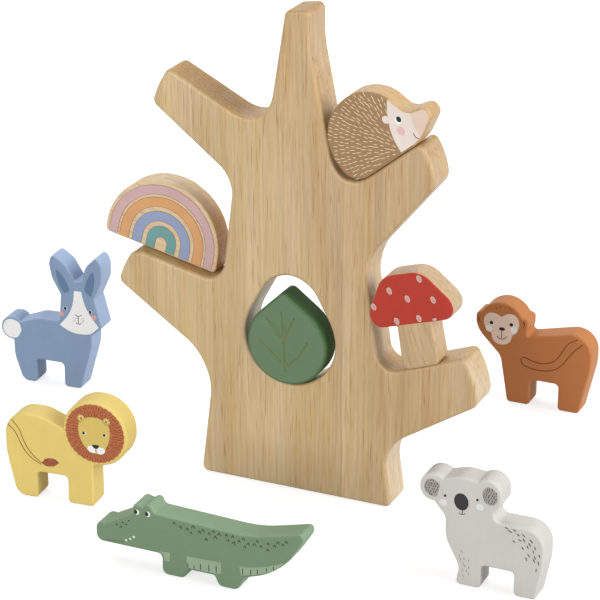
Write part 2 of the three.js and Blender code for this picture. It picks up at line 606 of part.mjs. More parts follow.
function bunny() {
  const heel = -BUNNY_ARCH_WIDTH / 2 - BUNNY_REAR_FOOT;
  const rump = heel - BUNNY_RUMP_OVERHANG;
  const tailEnd = rump - BUNNY_TAIL_OUT;
  const tailX = tailEnd + BUNNY_TAIL_RADIUS;
  const tailTop = BUNNY_TAIL_HEIGHT + BUNNY_TAIL_RADIUS;
  const tailUnder = BUNNY_TAIL_HEIGHT - BUNNY_TAIL_RADIUS;
  const tailTurn = degToRad(BUNNY_TAIL_TURN);
  const tailNotch = BUNNY_TAIL_HEIGHT + BUNNY_TAIL_RADIUS * Math.sin(tailTurn);
  const toe = BUNNY_ARCH_WIDTH / 2 + BUNNY_FRONT_FOOT;
  const chest = toe + BUNNY_CHEST_OVERHANG;
  const jaw = chest + BUNNY_JAW_OVERHANG;
  const nape = jaw - BUNNY_JAW_WIDTH;
  const jawTop = BUNNY_CHIN_HEIGHT + BUNNY_JAW_HEIGHT;
  const tilt = Math.tan(degToRad(BUNNY_HEAD_TILT));
  const crown = (nape + jaw) / 2 - (BUNNY_CROWN_HEIGHT - jawTop) * tilt;
  const crownLeft = crown - BUNNY_CROWN_WIDTH / 2;
  const crownRight = crown + BUNNY_CROWN_WIDTH / 2;
  const valley = BUNNY_CROWN_HEIGHT + BUNNY_VALLEY_DEPTH;
  const valleyLeft = crown + BUNNY_VALLEY_DEPTH * tilt - BUNNY_VALLEY_WIDTH / 2;
  const valleyRight = valleyLeft + BUNNY_VALLEY_WIDTH;
  const earRoot = (BUNNY_CROWN_HEIGHT + valley) / 2;
  const leftEar = bunnyEar([(crownLeft + valleyLeft) / 2, earRoot], -BUNNY_EAR_SPREAD - BUNNY_HEAD_TILT, -1);
  const rightEar = bunnyEar([(crownRight + valleyRight) / 2, earRoot], BUNNY_EAR_SPREAD - BUNNY_HEAD_TILT, 1);
  const mesh = figure('bunny', [
    [heel, 0, BUNNY_HEEL_ROUND],
    [rump, BUNNY_RUMP_HEIGHT, BUNNY_RUMP_ROUND],
    [rump, tailUnder, NOTCH_ROUND],
    [tailEnd, tailUnder, BUNNY_TAIL_RADIUS],
    [tailEnd, tailTop, BUNNY_TAIL_RADIUS],
    [tailX + crownCorner(BUNNY_TAIL_RADIUS, BUNNY_TAIL_TURN), tailTop, BUNNY_TAIL_RADIUS],
    [tailX + BUNNY_TAIL_RADIUS * Math.cos(tailTurn), tailNotch, NOTCH_ROUND],
    [nape - BUNNY_BACK_LENGTH, BUNNY_BACK_HEIGHT, BUNNY_BACK_ROUND],
    [nape, BUNNY_BACK_HEIGHT, NOTCH_ROUND],
    [crownLeft, BUNNY_CROWN_HEIGHT, NOTCH_ROUND],
    ...leftEar,
    [valleyLeft, valley, NOTCH_ROUND],
    [valleyRight, valley, NOTCH_ROUND],
    ...rightEar.reverse(),
    [crownRight, BUNNY_CROWN_HEIGHT, NOTCH_ROUND],
    [jaw, jawTop, TOE_ROUND],
    [chest, BUNNY_CHIN_HEIGHT, NOTCH_ROUND],
    [chest, BUNNY_CHEST_HEIGHT, BUNNY_CHEST_ROUND],
    [toe, 0, TOE_ROUND],
    ...legArch(BUNNY_ARCH_WIDTH, BUNNY_ARCH_HEIGHT),
  ], '#8397b2', 0.55);
  return stand(mesh, BUNNY_SPOT, BUNNY_TURN);
}

function lion() {
  const heel = -LION_ARCH_WIDTH / 2 - LION_REAR_FOOT;
  const rump = heel - LION_RUMP_OVERHANG;
  const toe = LION_ARCH_WIDTH / 2 + LION_FRONT_FOOT;
  const headLeft = toe + LION_HEAD_AHEAD - LION_HEAD_RADIUS;
  const headRight = toe + LION_HEAD_AHEAD + LION_HEAD_RADIUS;
  const headTop = LION_HEAD_HEIGHT + LION_HEAD_RADIUS;
  const chin = LION_HEAD_HEIGHT - LION_HEAD_RADIUS;
  const mesh = figure('lion', [
    [heel, 0, LION_HEEL_ROUND],
    [rump, LION_RUMP_SWELL_HEIGHT, LION_RUMP_SWELL],
    [rump, LION_RUMP_HEIGHT, LION_RUMP_ROUND],
    [rump + LION_RUMP_LENGTH, LION_RUMP_HEIGHT, LION_SADDLE_ROUND],
    [headLeft, LION_HEAD_HEIGHT, LION_NAPE_ROUND],
    [headLeft, headTop, LION_HEAD_RADIUS],
    [headRight, headTop, LION_HEAD_RADIUS],
    [headRight, chin, LION_HEAD_RADIUS],
    [toe, chin, LION_CHEST_ROUND],
    [toe, 0, TOE_ROUND],
    ...legArch(LION_ARCH_WIDTH, LION_ARCH_HEIGHT),
  ], '#dfc375', 0.55);
  return stand(mesh, LION_SPOT, LION_TURN);
}

function crocodile() {
  const archHalf = CROCODILE_ARCH_WIDTH / 2;
  const frontHeel = -archHalf - CROCODILE_FOOT_SPLAY;
  const frontToe = frontHeel - CROCODILE_FRONT_FOOT;
  const rearToe = archHalf + CROCODILE_FOOT_SPLAY;
  const rearHeel = rearToe + CROCODILE_REAR_FOOT;
  const snout = frontToe - CROCODILE_JAW_LENGTH;
  const brow = snout + CROCODILE_SNOUT_LENGTH;
  const eyesEnd = brow + 2 * CROCODILE_EYE_LENGTH;
  const backEnd = eyesEnd + CROCODILE_BACK_LENGTH;
  const tailEnd = backEnd + CROCODILE_TAIL_LENGTH;
  const mesh = figure('crocodile', [
    [frontToe, 0, CROCODILE_FOOT_ROUND],
    [frontToe, CROCODILE_JAW_HEIGHT, CROCODILE_THROAT_ROUND],
    [snout, CROCODILE_JAW_HEIGHT, CROCODILE_JAW_ROUND],
    [snout, CROCODILE_SNOUT_HEIGHT, CROCODILE_JAW_ROUND],
    [snout + CROCODILE_NOSTRIL_LENGTH, CROCODILE_SNOUT_HEIGHT - CROCODILE_NOSTRIL_DIP, NOTCH_ROUND],
    [brow, CROCODILE_BROW_HEIGHT, NOTCH_ROUND],
    [brow, CROCODILE_EYE_HEIGHT, CROCODILE_EYE_ROUND],
    [brow + CROCODILE_EYE_LENGTH, CROCODILE_EYE_HEIGHT - CROCODILE_EYE_DIP, NOTCH_ROUND],
    [eyesEnd - CROCODILE_EYE_ROUND, CROCODILE_EYE_HEIGHT + CROCODILE_EYE_STEP, CROCODILE_EYE_ROUND],
    [eyesEnd, CROCODILE_BACK_HEIGHT, CROCODILE_THROAT_ROUND],
    [backEnd, CROCODILE_BACK_HEIGHT - CROCODILE_BACK_FALL, CROCODILE_BACK_CURVE],
    [tailEnd, CROCODILE_TAIL_HEIGHT, CROCODILE_TAIL_END_ROUND],
    [tailEnd, CROCODILE_TAIL_HEIGHT - CROCODILE_TAIL_END, CROCODILE_TAIL_END_ROUND],
    [tailEnd - CROCODILE_TAIL_KNEE_LENGTH, CROCODILE_TAIL_KNEE_HEIGHT, CROCODILE_TAIL_CURVE],
    [rearHeel + CROCODILE_TAIL_ROOT_LENGTH, CROCODILE_TAIL_ROOT_HEIGHT, NOTCH_ROUND],
    [rearHeel, 0, CROCODILE_FOOT_ROUND],
    [rearToe, 0, CROCODILE_FOOT_ROUND],
    [archHalf, CROCODILE_BELLY_HEIGHT, NOTCH_ROUND],
    [-archHalf, CROCODILE_BELLY_HEIGHT, NOTCH_ROUND],
    [frontHeel, 0, CROCODILE_FOOT_ROUND],
  ], '#72896d', 0.55);
  return stand(mesh, CROCODILE_SPOT);
}

function koala() {
  const toe = -KOALA_ARCH_WIDTH / 2 - KOALA_FRONT_FOOT;
  const heel = KOALA_ARCH_WIDTH / 2 + KOALA_REAR_FOOT;
  const chest = toe - KOALA_CHEST_OVERHANG;
  const rump = heel + KOALA_RUMP_OVERHANG;
  const head = chest + KOALA_HEAD_BACK;
  const lift = (KOALA_EAR_SPAN / 2) * Math.tan(degToRad(KOALA_HEAD_TILT));
  const leftEar = [head - KOALA_EAR_SPAN / 2, KOALA_EAR_HEIGHT];
  const rightEar = [head + KOALA_EAR_SPAN / 2, KOALA_EAR_HEIGHT + 2 * lift];
  const crown = KOALA_EAR_HEIGHT + lift + KOALA_EAR_RADIUS;
  const earCorner = crownCorner(KOALA_EAR_RADIUS, KOALA_EAR_TURN);
  const notchIn = KOALA_EAR_RADIUS * Math.cos(degToRad(KOALA_EAR_TURN));
  const notchDrop = KOALA_EAR_RADIUS * (1 - Math.sin(degToRad(KOALA_EAR_TURN)));
  const earTop = ([, z]) => z + KOALA_EAR_RADIUS;
  const earUnder = ([, z]) => z - KOALA_EAR_RADIUS;
  const nape = rightEar[0] + KOALA_EAR_RADIUS - KOALA_NAPE_TUCK;
  const mesh = figure('koala', [
    [toe, 0, TOE_ROUND],
    [toe + KOALA_ANKLE_TUCK, KOALA_ANKLE_HEIGHT, KOALA_ANKLE_ROUND],
    [chest, KOALA_CHEST_HEIGHT, KOALA_CHEST_ROUND],
    [chest, KOALA_NECK_HEIGHT, KOALA_NECK_ROUND],
    [leftEar[0], earUnder(leftEar), NOTCH_ROUND],
    [leftEar[0] - KOALA_EAR_RADIUS, earUnder(leftEar), KOALA_EAR_RADIUS],
    [leftEar[0] - KOALA_EAR_RADIUS, earTop(leftEar), KOALA_EAR_RADIUS],
    [leftEar[0] + earCorner, earTop(leftEar), KOALA_EAR_RADIUS],
    [leftEar[0] + notchIn, earTop(leftEar) - notchDrop, NOTCH_ROUND],
    [head, crown, KOALA_CROWN_ROUND],
    [rightEar[0] - notchIn, earTop(rightEar) - notchDrop, NOTCH_ROUND],
    [rightEar[0] - earCorner, earTop(rightEar), KOALA_EAR_RADIUS],
    [rightEar[0] + KOALA_EAR_RADIUS, earTop(rightEar), KOALA_EAR_RADIUS],
    [rightEar[0] + KOALA_EAR_RADIUS, rightEar[1] - KOALA_EAR_LOBE, KOALA_NAPE_ROUND],
    [nape, KOALA_BACK_HEIGHT + KOALA_NAPE_RISE, KOALA_NAPE_ROUND],
    [nape, KOALA_BACK_HEIGHT, KOALA_NAPE_ROUND],
    [rump, KOALA_BACK_HEIGHT, KOALA_RUMP_ROUND],
    [rump, KOALA_RUMP_SWELL_HEIGHT, KOALA_RUMP_SWELL],
    [heel, 0, TOE_ROUND],
    ...legArch(KOALA_ARCH_WIDTH, KOALA_ARCH_HEIGHT),
  ], '#cdcac3', 0.55);
  return stand(mesh, KOALA_SPOT);
}

function monkey() {
  const toe = -MONKEY_ARCH_WIDTH / 2 - MONKEY_FRONT_FOOT;
  const heel = MONKEY_ARCH_WIDTH / 2 + MONKEY_REAR_FOOT;
  const chest = toe - MONKEY_CHEST_OVERHANG;
  const rump = heel + MONKEY_RUMP_OVERHANG;
  const head = chest + MONKEY_HEAD_BACK;
  const headTop = MONKEY_HEAD_HEIGHT + MONKEY_HEAD_RADIUS;
  const jawReach = MONKEY_HEAD_RADIUS * Math.SQRT2;
  const jawCorner = crownCorner(MONKEY_HEAD_RADIUS, 45);
  const earIn = MONKEY_HEAD_RADIUS * Math.cos(degToRad(MONKEY_EAR_TURN));
  const earRoot = MONKEY_HEAD_HEIGHT + MONKEY_HEAD_RADIUS * Math.sin(degToRad(MONKEY_EAR_TURN));
  const earTop = earRoot - MONKEY_EAR_DROP;
  const earUnder = earTop - MONKEY_EAR_LENGTH;
  const earEnd = MONKEY_HEAD_RADIUS + MONKEY_EAR_OUT;
  const crownHalf = crownCorner(MONKEY_HEAD_RADIUS, MONKEY_EAR_TURN);
  const mesh = figure('monkey', [
    [toe, 0, TOE_ROUND],
    [chest, MONKEY_HEAD_HEIGHT - jawReach + MONKEY_HEAD_BACK, MONKEY_CHEST_ROUND],
    [head - MONKEY_HEAD_RADIUS, MONKEY_HEAD_HEIGHT - jawCorner, MONKEY_HEAD_RADIUS],
    [head - earEnd, earUnder, MONKEY_EAR_ROUND],
    [head - earEnd, earTop, MONKEY_EAR_ROUND],
    [head - earIn, earRoot, NOTCH_ROUND],
    [head - crownHalf, headTop, MONKEY_HEAD_RADIUS],
    [head + crownHalf, headTop, MONKEY_HEAD_RADIUS],
    [head + earIn, earRoot, NOTCH_ROUND],
    [head + earEnd, earTop, MONKEY_EAR_ROUND],
    [head + earEnd, earUnder, MONKEY_EAR_ROUND],
    [head + MONKEY_HEAD_RADIUS, MONKEY_NAPE_HEIGHT, MONKEY_NAPE_ROUND],
    [rump - MONKEY_RUMP_LENGTH, MONKEY_RUMP_HEIGHT, MONKEY_RUMP_ROUND],
    [rump, MONKEY_RUMP_HEIGHT, MONKEY_RUMP_ROUND],
    [rump, MONKEY_RUMP_SWELL_HEIGHT, MONKEY_RUMP_SWELL],
    [heel, 0, TOE_ROUND],
    ...legArch(MONKEY_ARCH_WIDTH, MONKEY_ARCH_HEIGHT),
  ], '#a5683d', 0.55);
  return stand(mesh, MONKEY_SPOT);
}

const game = new THREE.Group();
game.add(tree(), rainbow(), hedgehog(), leaf(), mushroom());
game.add(bunny(), lion(), crocodile(), koala(), monkey());
export default game;
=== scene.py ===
from math import atan2, ceil, cos, pi, radians, sin, tan
from random import Random

import bmesh
import bpy
from mathutils import Matrix, Vector


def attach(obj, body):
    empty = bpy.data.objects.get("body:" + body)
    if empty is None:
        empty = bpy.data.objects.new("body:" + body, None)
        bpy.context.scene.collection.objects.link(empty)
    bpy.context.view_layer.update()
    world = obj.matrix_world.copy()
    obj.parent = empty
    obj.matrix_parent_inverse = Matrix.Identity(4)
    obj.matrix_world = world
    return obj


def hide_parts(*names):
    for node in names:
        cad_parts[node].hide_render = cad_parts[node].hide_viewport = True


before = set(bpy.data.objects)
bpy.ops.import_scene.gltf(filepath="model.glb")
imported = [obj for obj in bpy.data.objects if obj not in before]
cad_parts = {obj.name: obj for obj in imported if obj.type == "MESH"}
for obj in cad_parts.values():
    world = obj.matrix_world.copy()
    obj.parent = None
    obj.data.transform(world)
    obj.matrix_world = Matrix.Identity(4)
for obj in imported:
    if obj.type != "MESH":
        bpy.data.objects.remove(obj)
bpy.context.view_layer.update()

# Tree: a trunk with a flat foot, four side branches and a top branch, sawn from one glued-up board
# of pale wood with the grain upright. The edges are rounded over, and an egg-shaped hollow is sawn
# right through. Sanded smooth and clear lacquered.
MM = 0.001
SAME_SPOT = 0.002
ARC_STEP = radians(6)
EASE_STEPS = 4
RIM_START = pi / 5
TREE_THICKNESS = 24
TREE_EASE = 2.4
TREE_OUTLINE = [
    # foot, left side and lower left branch
    (-63, 0, 4), (-54.1, 73.6, 36), (-117.9, 117.3, 5), (-113.2, 128.8, 40), (-106.7, 139.5, 9),
    (-47.7, 126.1, 12.5),
    # upper left branch and top branch
    (-39.6, 193.3, 20), (-92, 233.9, 5), (-87.5, 245.4, 40), (-81.2, 256.1, 4), (-18.1, 223.7, 18),
    (-6.2, 298.8, 4), (9.4, 301, 4), (9.4, 280, 60),
    # upper right branch, lower right branch and foot
    (27, 192, 15.6), (77.8, 232.3, 4), (84.7, 220.7, 40), (87.4, 207.5, 8), (43.7, 154.4, 30),
    (54.5, 86.2, 10), (107.2, 105.8, 4), (114.1, 92.1, 40), (116.8, 77, 8), (57.7, 39.5, 22), (63, 0, 4),
]
HOLLOW_OUTLINE = [
    (-32.8, 69.3, 29.2), (25.6, 69.3, 29.2), (25.6, 105.9, 29.2),
    (8.1, 138.3, 19.6), (-15.3, 138.3, 19.6), (-32.8, 105.9, 29.2),
]


def draw(blank, corners, closed=True):
    """Draws corners (x, z, fillet) in mm as edges, and rounds each corner by its fillet."""
    spots = [Vector((x, 0, z)) * MM for x, z, fillet in corners]
    count = len(spots)
    turns, reaches = [], []
    for i, (_, _, fillet) in enumerate(corners):
        angle = (spots[i - 1] - spots[i]).angle(spots[(i + 1) % count] - spots[i])
        turns.append(pi - angle)
        reaches.append(fillet * MM / tan(angle / 2) if fillet else 0)
    verts = [blank.verts.new(spot) for spot in spots]
    edges = [blank.edges.new(pair) for pair in zip(verts, verts[1:])]
    if closed:
        edges.append(blank.edges.new((verts[-1], verts[0])))
    lengths = [(spots[(i + 1) % count] - spots[i]).length for i in range(count)]
    fits = []
    for i, reach in enumerate(reaches):
        before = lengths[i - 1] / max(reach + reaches[i - 1], lengths[i - 1])
        after = lengths[i] / max(reach + reaches[(i + 1) % count], lengths[i])
        fits.append(reach * min(before, after))
    for vert, turn, fit in zip(verts, turns, fits):
        if fit:
            bmesh.ops.bevel(
                blank, geom=[vert], offset=fit, offset_type="ABSOLUTE", affect="VERTICES",
                segments=max(2, ceil(turn / ARC_STEP)), profile=0.5, material=-1, clamp_overlap=False,
            )
    loose = [vert for vert in blank.verts if not vert.link_faces]
    bmesh.ops.remove_doubles(blank, verts=loose, dist=SAME_SPOT * MM)


def fill(blank):
    """Fills the outline that was just drawn, and leaves a hole where a second outline lies in it."""
    outline = [edge for edge in blank.edges if not edge.link_faces]
    filled = bmesh.ops.triangle_fill(blank, use_beauty=True, edges=outline)["geom"]
    return [item for item in filled if isinstance(item, bmesh.types.BMFace)]


def thicken(blank, faces, depth):
    """Gives flat faces a depth in mm towards the front, and returns the new front faces."""
    geom = bmesh.ops.extrude_face_region(blank, geom=faces, use_keep_orig=True)["geom"]
    front = [item for item in geom if isinstance(item, bmesh.types.BMVert)]
    bmesh.ops.translate(blank, vec=(0, -depth * MM, 0), verts=front)
    return [item for item in geom if isinstance(item, bmesh.types.BMFace)]


def ease(blank, faces, radius, way):
    """Rounds over the edge of a board's front (way -1) or back (way 1), and returns the rim next to it."""
    rim = []
    angles = [pi / 2 * step / EASE_STEPS for step in range(EASE_STEPS + 1)]
    for start, end in zip(angles, angles[1:]):
        ring = bmesh.ops.inset_region(
            blank, faces=faces, thickness=radius * (cos(start) - cos(end)) * MM,
            use_boundary=True, use_even_offset=True,
        )["faces"]
        rim += ring if start > RIM_START else []
        verts = list({vert for face in faces for vert in face.verts})
        out = radius * (sin(end) - sin(start)) * MM
        bmesh.ops.translate(blank, vec=(0, way * out, 0), verts=verts)
    return rim


def finish_piece(blank, name, place, coats, body):
    """Turns a shape into a piece in its place, with its materials, on its body."""
    bmesh.ops.transform(blank, matrix=place, verts=blank.verts)
    bmesh.ops.recalc_face_normals(blank, faces=blank.faces)
    mesh = bpy.data.meshes.new(name)
    blank.to_mesh(mesh)
    blank.free()
    for coat in coats:
        mesh.materials.append(coat)
    piece = bpy.data.objects.new(name, mesh)
    bpy.context.scene.collection.objects.link(piece)
    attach(piece, body)
    return piece


def soften(piece):
    """Keeps the broad faces flat in the light, with the rounded edges smooth."""
    piece.data.shade_smooth()
    piece.modifiers.new("flat_faces", "WEIGHTED_NORMAL").keep_sharp = False


def saw_board(outline, thickness, radius, hollow=(), front_coat=0, rim_coat=lambda x, z: 0):
    """Saws an upright board to its outline; its front and the rim round it may have other coats."""
    blank = bmesh.new()
    draw(blank, outline)
    if hollow:
        draw(blank, hollow)
    back = fill(blank)
    bmesh.ops.translate(blank, vec=(0, (thickness / 2 - radius) * MM, 0), verts=blank.verts)
    front = thicken(blank, back, thickness - 2 * radius)
    rim = ease(blank, front, radius, -1)
    ease(blank, back, radius, 1)
    for face in front:
        face.material_index = front_coat
    for face in rim:
        middle = face.calc_center_median() / MM
        face.material_index = rim_coat(middle.x, middle.z)
    return blank


def tone(red, green, blue):
    """A colour as a picture shows it, 0 to 255, for a shader."""
    values = [part / 255 for part in (red, green, blue)]
    return (*[v / 12.92 if v <= 0.04045 else ((v + 0.055) / 1.055) ** 2.4 for v in values], 1)


def node(tree, kind, inputs=(), **settings):
    """Adds a shader node, and sets its inputs or links them."""
    made = tree.nodes.new("ShaderNode" + kind)
    for name, value in settings.items():
        setattr(made, name, value)
    for name, value in dict(inputs).items():
        if isinstance(value, bpy.types.NodeSocket):
            tree.links.new(value, made.inputs[name])
        else:
            made.inputs[name].default_value = value
    return made


def new_group(name, inputs, outputs):
    """Starts a shader node group with named sockets, and returns it with its two end nodes."""
    group = bpy.data.node_groups.new(name, "ShaderNodeTree")
    for way, sockets in (("INPUT", inputs), ("OUTPUT", outputs)):
        for socket, kind in sockets.items():
            group.interface.new_socket(socket, in_out=way, socket_type="NodeSocket" + kind)
    return group, group.nodes.new("NodeGroupInput"), group.nodes.new("NodeGroupOutput")


def stretched_noise(group, vector, scale, detail, rough=0.5):
    """Noise drawn out along the grain: scale is in features per metre along x, y and z."""
    mapped = node(group, "Mapping", {"Vector": vector, "Scale": scale})
    noise = node(group, "TexNoise", {
        "Vector": mapped.outputs["Vector"], "Scale": 1, "Detail": detail, "Roughness": rough,
    })
    return noise.outputs["Fac"]


def maths(tree, operation, *values):
    """One step of arithmetic on numbers or sockets."""
    return node(tree, "Math", dict(enumerate(values)), operation=operation).outputs[0]


def sum_of(tree, *weighted):
    """Adds up (value, weight) pairs."""
    total = 0
    for value, weight in weighted:
        total = maths(tree, "MULTIPLY_ADD", value, weight, total)
    return total


def ramp(tree, value, low, high, start=0, end=1, curve="LINEAR"):
    """Goes from start to end while the value goes from low to high."""
    inputs = dict(enumerate((value, low, high, start, end)))
    return node(tree, "MapRange", inputs, interpolation_type=curve).outputs[0]


def blend(tree, share, first, second, way="MIX"):
    """Mixes two colours, or multiplies the first by the second."""
    return node(tree, "Mix", {0: share, 6: first, 7: second}, data_type="RGBA", blend_type=way).outputs[2]


# Grain along z: broad bands, fine streaks and fibres, long dark lines, short dark pores, and growth
# rings across the thickness. Where a surface cuts across the grain, the end tone tints it.
RING_SPACING = 0.0038
RING_WANDER = 2.5
MARK_BROWN = (0.68, 0.5, 0.32, 1)
grain, grain_in, grain_out = new_group(
    "wood_grain", {"Vector": "Vector", "Cut": "Float", "Pale": "Color", "Dark": "Color", "End": "Color"},
    {"Color": "Color", "Roughness": "Float", "Height": "Float"},
)
grain_vector = grain_in.outputs["Vector"]
grain_cut = grain_in.outputs["Cut"]
bands = stretched_noise(grain, grain_vector, (46, 20, 3), 2)
streaks = stretched_noise(grain, grain_vector, (640, 340, 17), 3, 0.6)
fibres = stretched_noise(grain, grain_vector, (2600, 1500, 110), 1)
line_noise = stretched_noise(grain, grain_vector, (240, 130, 9), 2)
pore_noise = stretched_noise(grain, grain_vector, (1150, 620, 48), 1)
cast = stretched_noise(grain, grain_vector, (14, 14, 6), 1)
blush = stretched_noise(grain, grain_vector, (130, 60, 7), 2)
across = node(grain, "VectorMath", {0: grain_vector, 1: (0.1, 0.95, 0.03)}, operation="DOT_PRODUCT")
ring_phase = sum_of(
    grain, (across.outputs["Value"], 2 * pi / RING_SPACING), (cast, 2 * pi * RING_WANDER), (bands, pi),
)
rings = maths(grain, "SINE", ring_phase)
ring_weight = ramp(grain, grain_cut, 0.3, 0.9, 0.02, 0.07)
grain_tone = sum_of(grain, (bands, 0.6), (streaks, 0.9), (rings, ring_weight), (fibres, 0.3))
grain_mix = ramp(grain, grain_tone, 0.63, 1.17)
wood_tone = blend(grain, grain_mix, grain_in.outputs["Pale"], grain_in.outputs["Dark"])
lines = ramp(grain, line_noise, 0.58, 0.78)
pores = ramp(grain, pore_noise, 0.62, 0.74)
pore_weight = ramp(grain, grain_cut, 0.1, 0.5, 0.7, 0.12)
mark_weight = sum_of(grain, (pores, pore_weight), (lines, 0.24))
marked = blend(grain, mark_weight, wood_tone, MARK_BROWN, "MULTIPLY")
cut_weight = ramp(grain, grain_cut, 0.3, 0.95)
cut_tone = blend(grain, cut_weight, marked, grain_in.outputs["End"], "MULTIPLY")
cast_tone = node(grain, "HueSaturation", {
    "Color": cut_tone, "Hue": ramp(grain, cast, 0.25, 0.75, 0.502, 0.498),
    "Saturation": ramp(grain, blush, 0.3, 0.7, 0.94, 1.1), "Value": ramp(grain, cast, 0.25, 0.75, 1.04, 0.96),
})
grain.links.new(cast_tone.outputs["Color"], grain_out.inputs["Color"])
grain.links.new(ramp(grain, streaks, 0.3, 0.7, 0.38, 0.5), grain_out.inputs["Roughness"])
grain.links.new(sum_of(grain, (streaks, 0.5), (fibres, 0.3), (pores, -0.5)), grain_out.inputs["Height"])
RELIEF_DEPTH = 0.3


def coated(name, group, values, bump, shine):
    """A material whose colour, roughness and bump come from a group; shine is its specular level."""
    material = bpy.data.materials.new(name)
    material.use_nodes = True
    tree = material.node_tree
    shader = tree.nodes["Principled BSDF"]
    shader.inputs["Specular IOR Level"].default_value = shine
    coat = node(tree, "Group", node_tree=group)
    for socket, value in values.items():
        if callable(value):
            tree.links.new(value(tree), coat.inputs[socket])
        else:
            coat.inputs[socket].default_value = value
    height = coat.outputs["Height"]
    relief = node(tree, "Bump", {"Height": height, "Strength": bump, "Distance": RELIEF_DEPTH * MM})
    tree.links.new(coat.outputs["Color"], shader.inputs["Base Color"])
    tree.links.new(coat.outputs["Roughness"], shader.inputs["Roughness"])
    tree.links.new(relief.outputs["Normal"], shader.inputs["Normal"])
    return material


def grain_along(tilt):
    """Object coordinates turned so that the grain runs along a piece that leans by tilt (degrees)."""
    def vector(tree):
        place = node(tree, "TexCoord").outputs["Object"]
        return node(tree, "Mapping", {"Vector": place, "Rotation": (0, radians(tilt), 0)}).outputs[0]
    return vector


def mark_end_grain(piece, tilt):
    """Notes in the mesh how far its surface cuts across the grain, and which of it is the sawn side."""
    along = Vector((-sin(radians(tilt)), 0, cos(radians(tilt))))
    cut = piece.data.attributes.new("cut", "FLOAT", "POINT")
    cut.data.foreach_set("value", [abs(vert.normal.dot(along)) for vert in piece.data.vertices])
    sawn = piece.data.attributes.new("sawn", "FLOAT", "POINT")
    sawn.data.foreach_set("value", [1 - abs(vert.normal.y) for vert in piece.data.vertices])


LACQUER_WEIGHT = 0.2
LACQUER_ROUGHNESS = 0.34
LACQUER_BUMP = 0.2
LACQUER_SHINE = 0.3


def lacquered(name, pale, dark, end, place):
    """Clear lacquer over sanded wood; end tints the end grain, and on some pieces also holds painted
    highlight or painted shade.
    """
    def cut(tree):
        return node(tree, "Attribute", attribute_name="cut").outputs["Fac"]
    pale, dark = (colour if callable(colour) else tone(*colour) for colour in (pale, dark))
    values = {"Pale": pale, "Dark": dark, "End": (*end, 1), "Vector": place, "Cut": cut}
    material = coated(name, grain, values, LACQUER_BUMP, LACQUER_SHINE)
    shader = material.node_tree.nodes["Principled BSDF"]
    shader.inputs["Coat Weight"].default_value = LACQUER_WEIGHT
    shader.inputs["Coat Roughness"].default_value = LACQUER_ROUGHNESS
    return material


STAVE_WIDTH = 0.062
STAVE_JUMP = 0.31


def staves(tree):
    """Object coordinates that jump from stave to stave of the glued-up board."""
    place = node(tree, "TexCoord").outputs["Object"]
    x = node(tree, "SeparateXYZ", {0: place}).outputs["X"]
    stave = maths(tree, "ROUND", maths(tree, "DIVIDE", x, STAVE_WIDTH))
    jump = node(tree, "CombineXYZ", {"Y": maths(tree, "MULTIPLY", stave, STAVE_JUMP)}).outputs[0]
    return node(tree, "VectorMath", {0: place, 1: jump}).outputs[0]


HEART_WAY = (1, 0, 0.35)
HEART_START, HEART_FULL = 0.036, 0.088
# Up to the first height the sawn sides carry a painted highlight, paler than the wood; from the second height
# it is gone.
PAINTED_HIGHLIGHT_FULL_UP_TO, PAINTED_HIGHLIGHT_GONE_FROM = 0.1, 0.26


def board_tone(sapwood, heartwood, side):
    """The board deepens to its upper right, nearer the heart of the log; its lower sawn sides are paler with
    a painted highlight.
    """
    def colour(tree):
        place = node(tree, "TexCoord").outputs["Object"]
        across = node(tree, "VectorMath", {0: place, 1: HEART_WAY}, operation="DOT_PRODUCT").outputs["Value"]
        share = ramp(tree, across, HEART_START, HEART_FULL, curve="SMOOTHSTEP")
        face = blend(tree, share, tone(*sapwood), tone(*heartwood))
        height = node(tree, "SeparateXYZ", {0: place}).outputs["Z"]
        up = ramp(tree, height, PAINTED_HIGHLIGHT_FULL_UP_TO, PAINTED_HIGHLIGHT_GONE_FROM, curve="SMOOTHSTEP")
        rim = blend(tree, up, tone(*side), tone(*heartwood))
        sawn = node(tree, "Attribute", attribute_name="sawn").outputs["Fac"]
        return blend(tree, sawn, face, rim)
    return colour


# The side tones are the painted highlight on the lower sawn sides.
board_pale = board_tone(sapwood=(216, 192, 152), heartwood=(207, 178, 138), side=(219, 200, 168))
board_dark = board_tone(sapwood=(187, 158, 114), heartwood=(177, 146, 104), side=(197, 172, 138))
lacquered_board = lacquered("lacquered_board", board_pale, board_dark, (0.76, 0.65, 0.45), staves)
tree_blank = saw_board(TREE_OUTLINE, TREE_THICKNESS, TREE_EASE, HOLLOW_OUTLINE)
tree_piece = finish_piece(tree_blank, "tree_board", Matrix(), [lacquered_board], "tree")
soften(tree_piece)
mark_end_grain(tree_piece, 0)
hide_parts("tree")

# Leaf: a round leaf with a point, sawn from a thinner board, dipped in matt green paint and set
# loose in the hollow. The veins are engraved with a round-nosed cutter, and stained olive.
FIGURE_THICKNESS = 16
FIGURE_EASE = 1.5
FRONT = -FIGURE_THICKNESS / 2
LEAF_LEAN = 3.8
LEAF_OUTLINE = [
    (-25.6, -25.6, 25.6), (25.6, -25.6, 25.6), (25.6, 11.8, 25.6), (0, 33.6, 4), (-25.6, 11.8, 25.6),
]
LEAF_VEINS = [
    ((-1.5, -17), (-1.7, 20.4)), ((-1.6, -13.6), (-16.9, 1.6)), ((-1.6, -14), (3.4, -10.9)),
    ((3.4, -10.9), (7.6, -7.1)), ((7.6, -7.1), (11, -2.4)), ((11, -2.4), (13.5, 1.9)),
    ((-1.8, 1.6), (-11.7, 15.5)), ((-1.7, 1.6), (6.5, 17.2)),
]
VEIN_RADIUS = 0.72
VEIN_WELD = 0.07
VEIN_SLIVER = 0.01
SORTING_WAY = Vector((1, 2, 3))

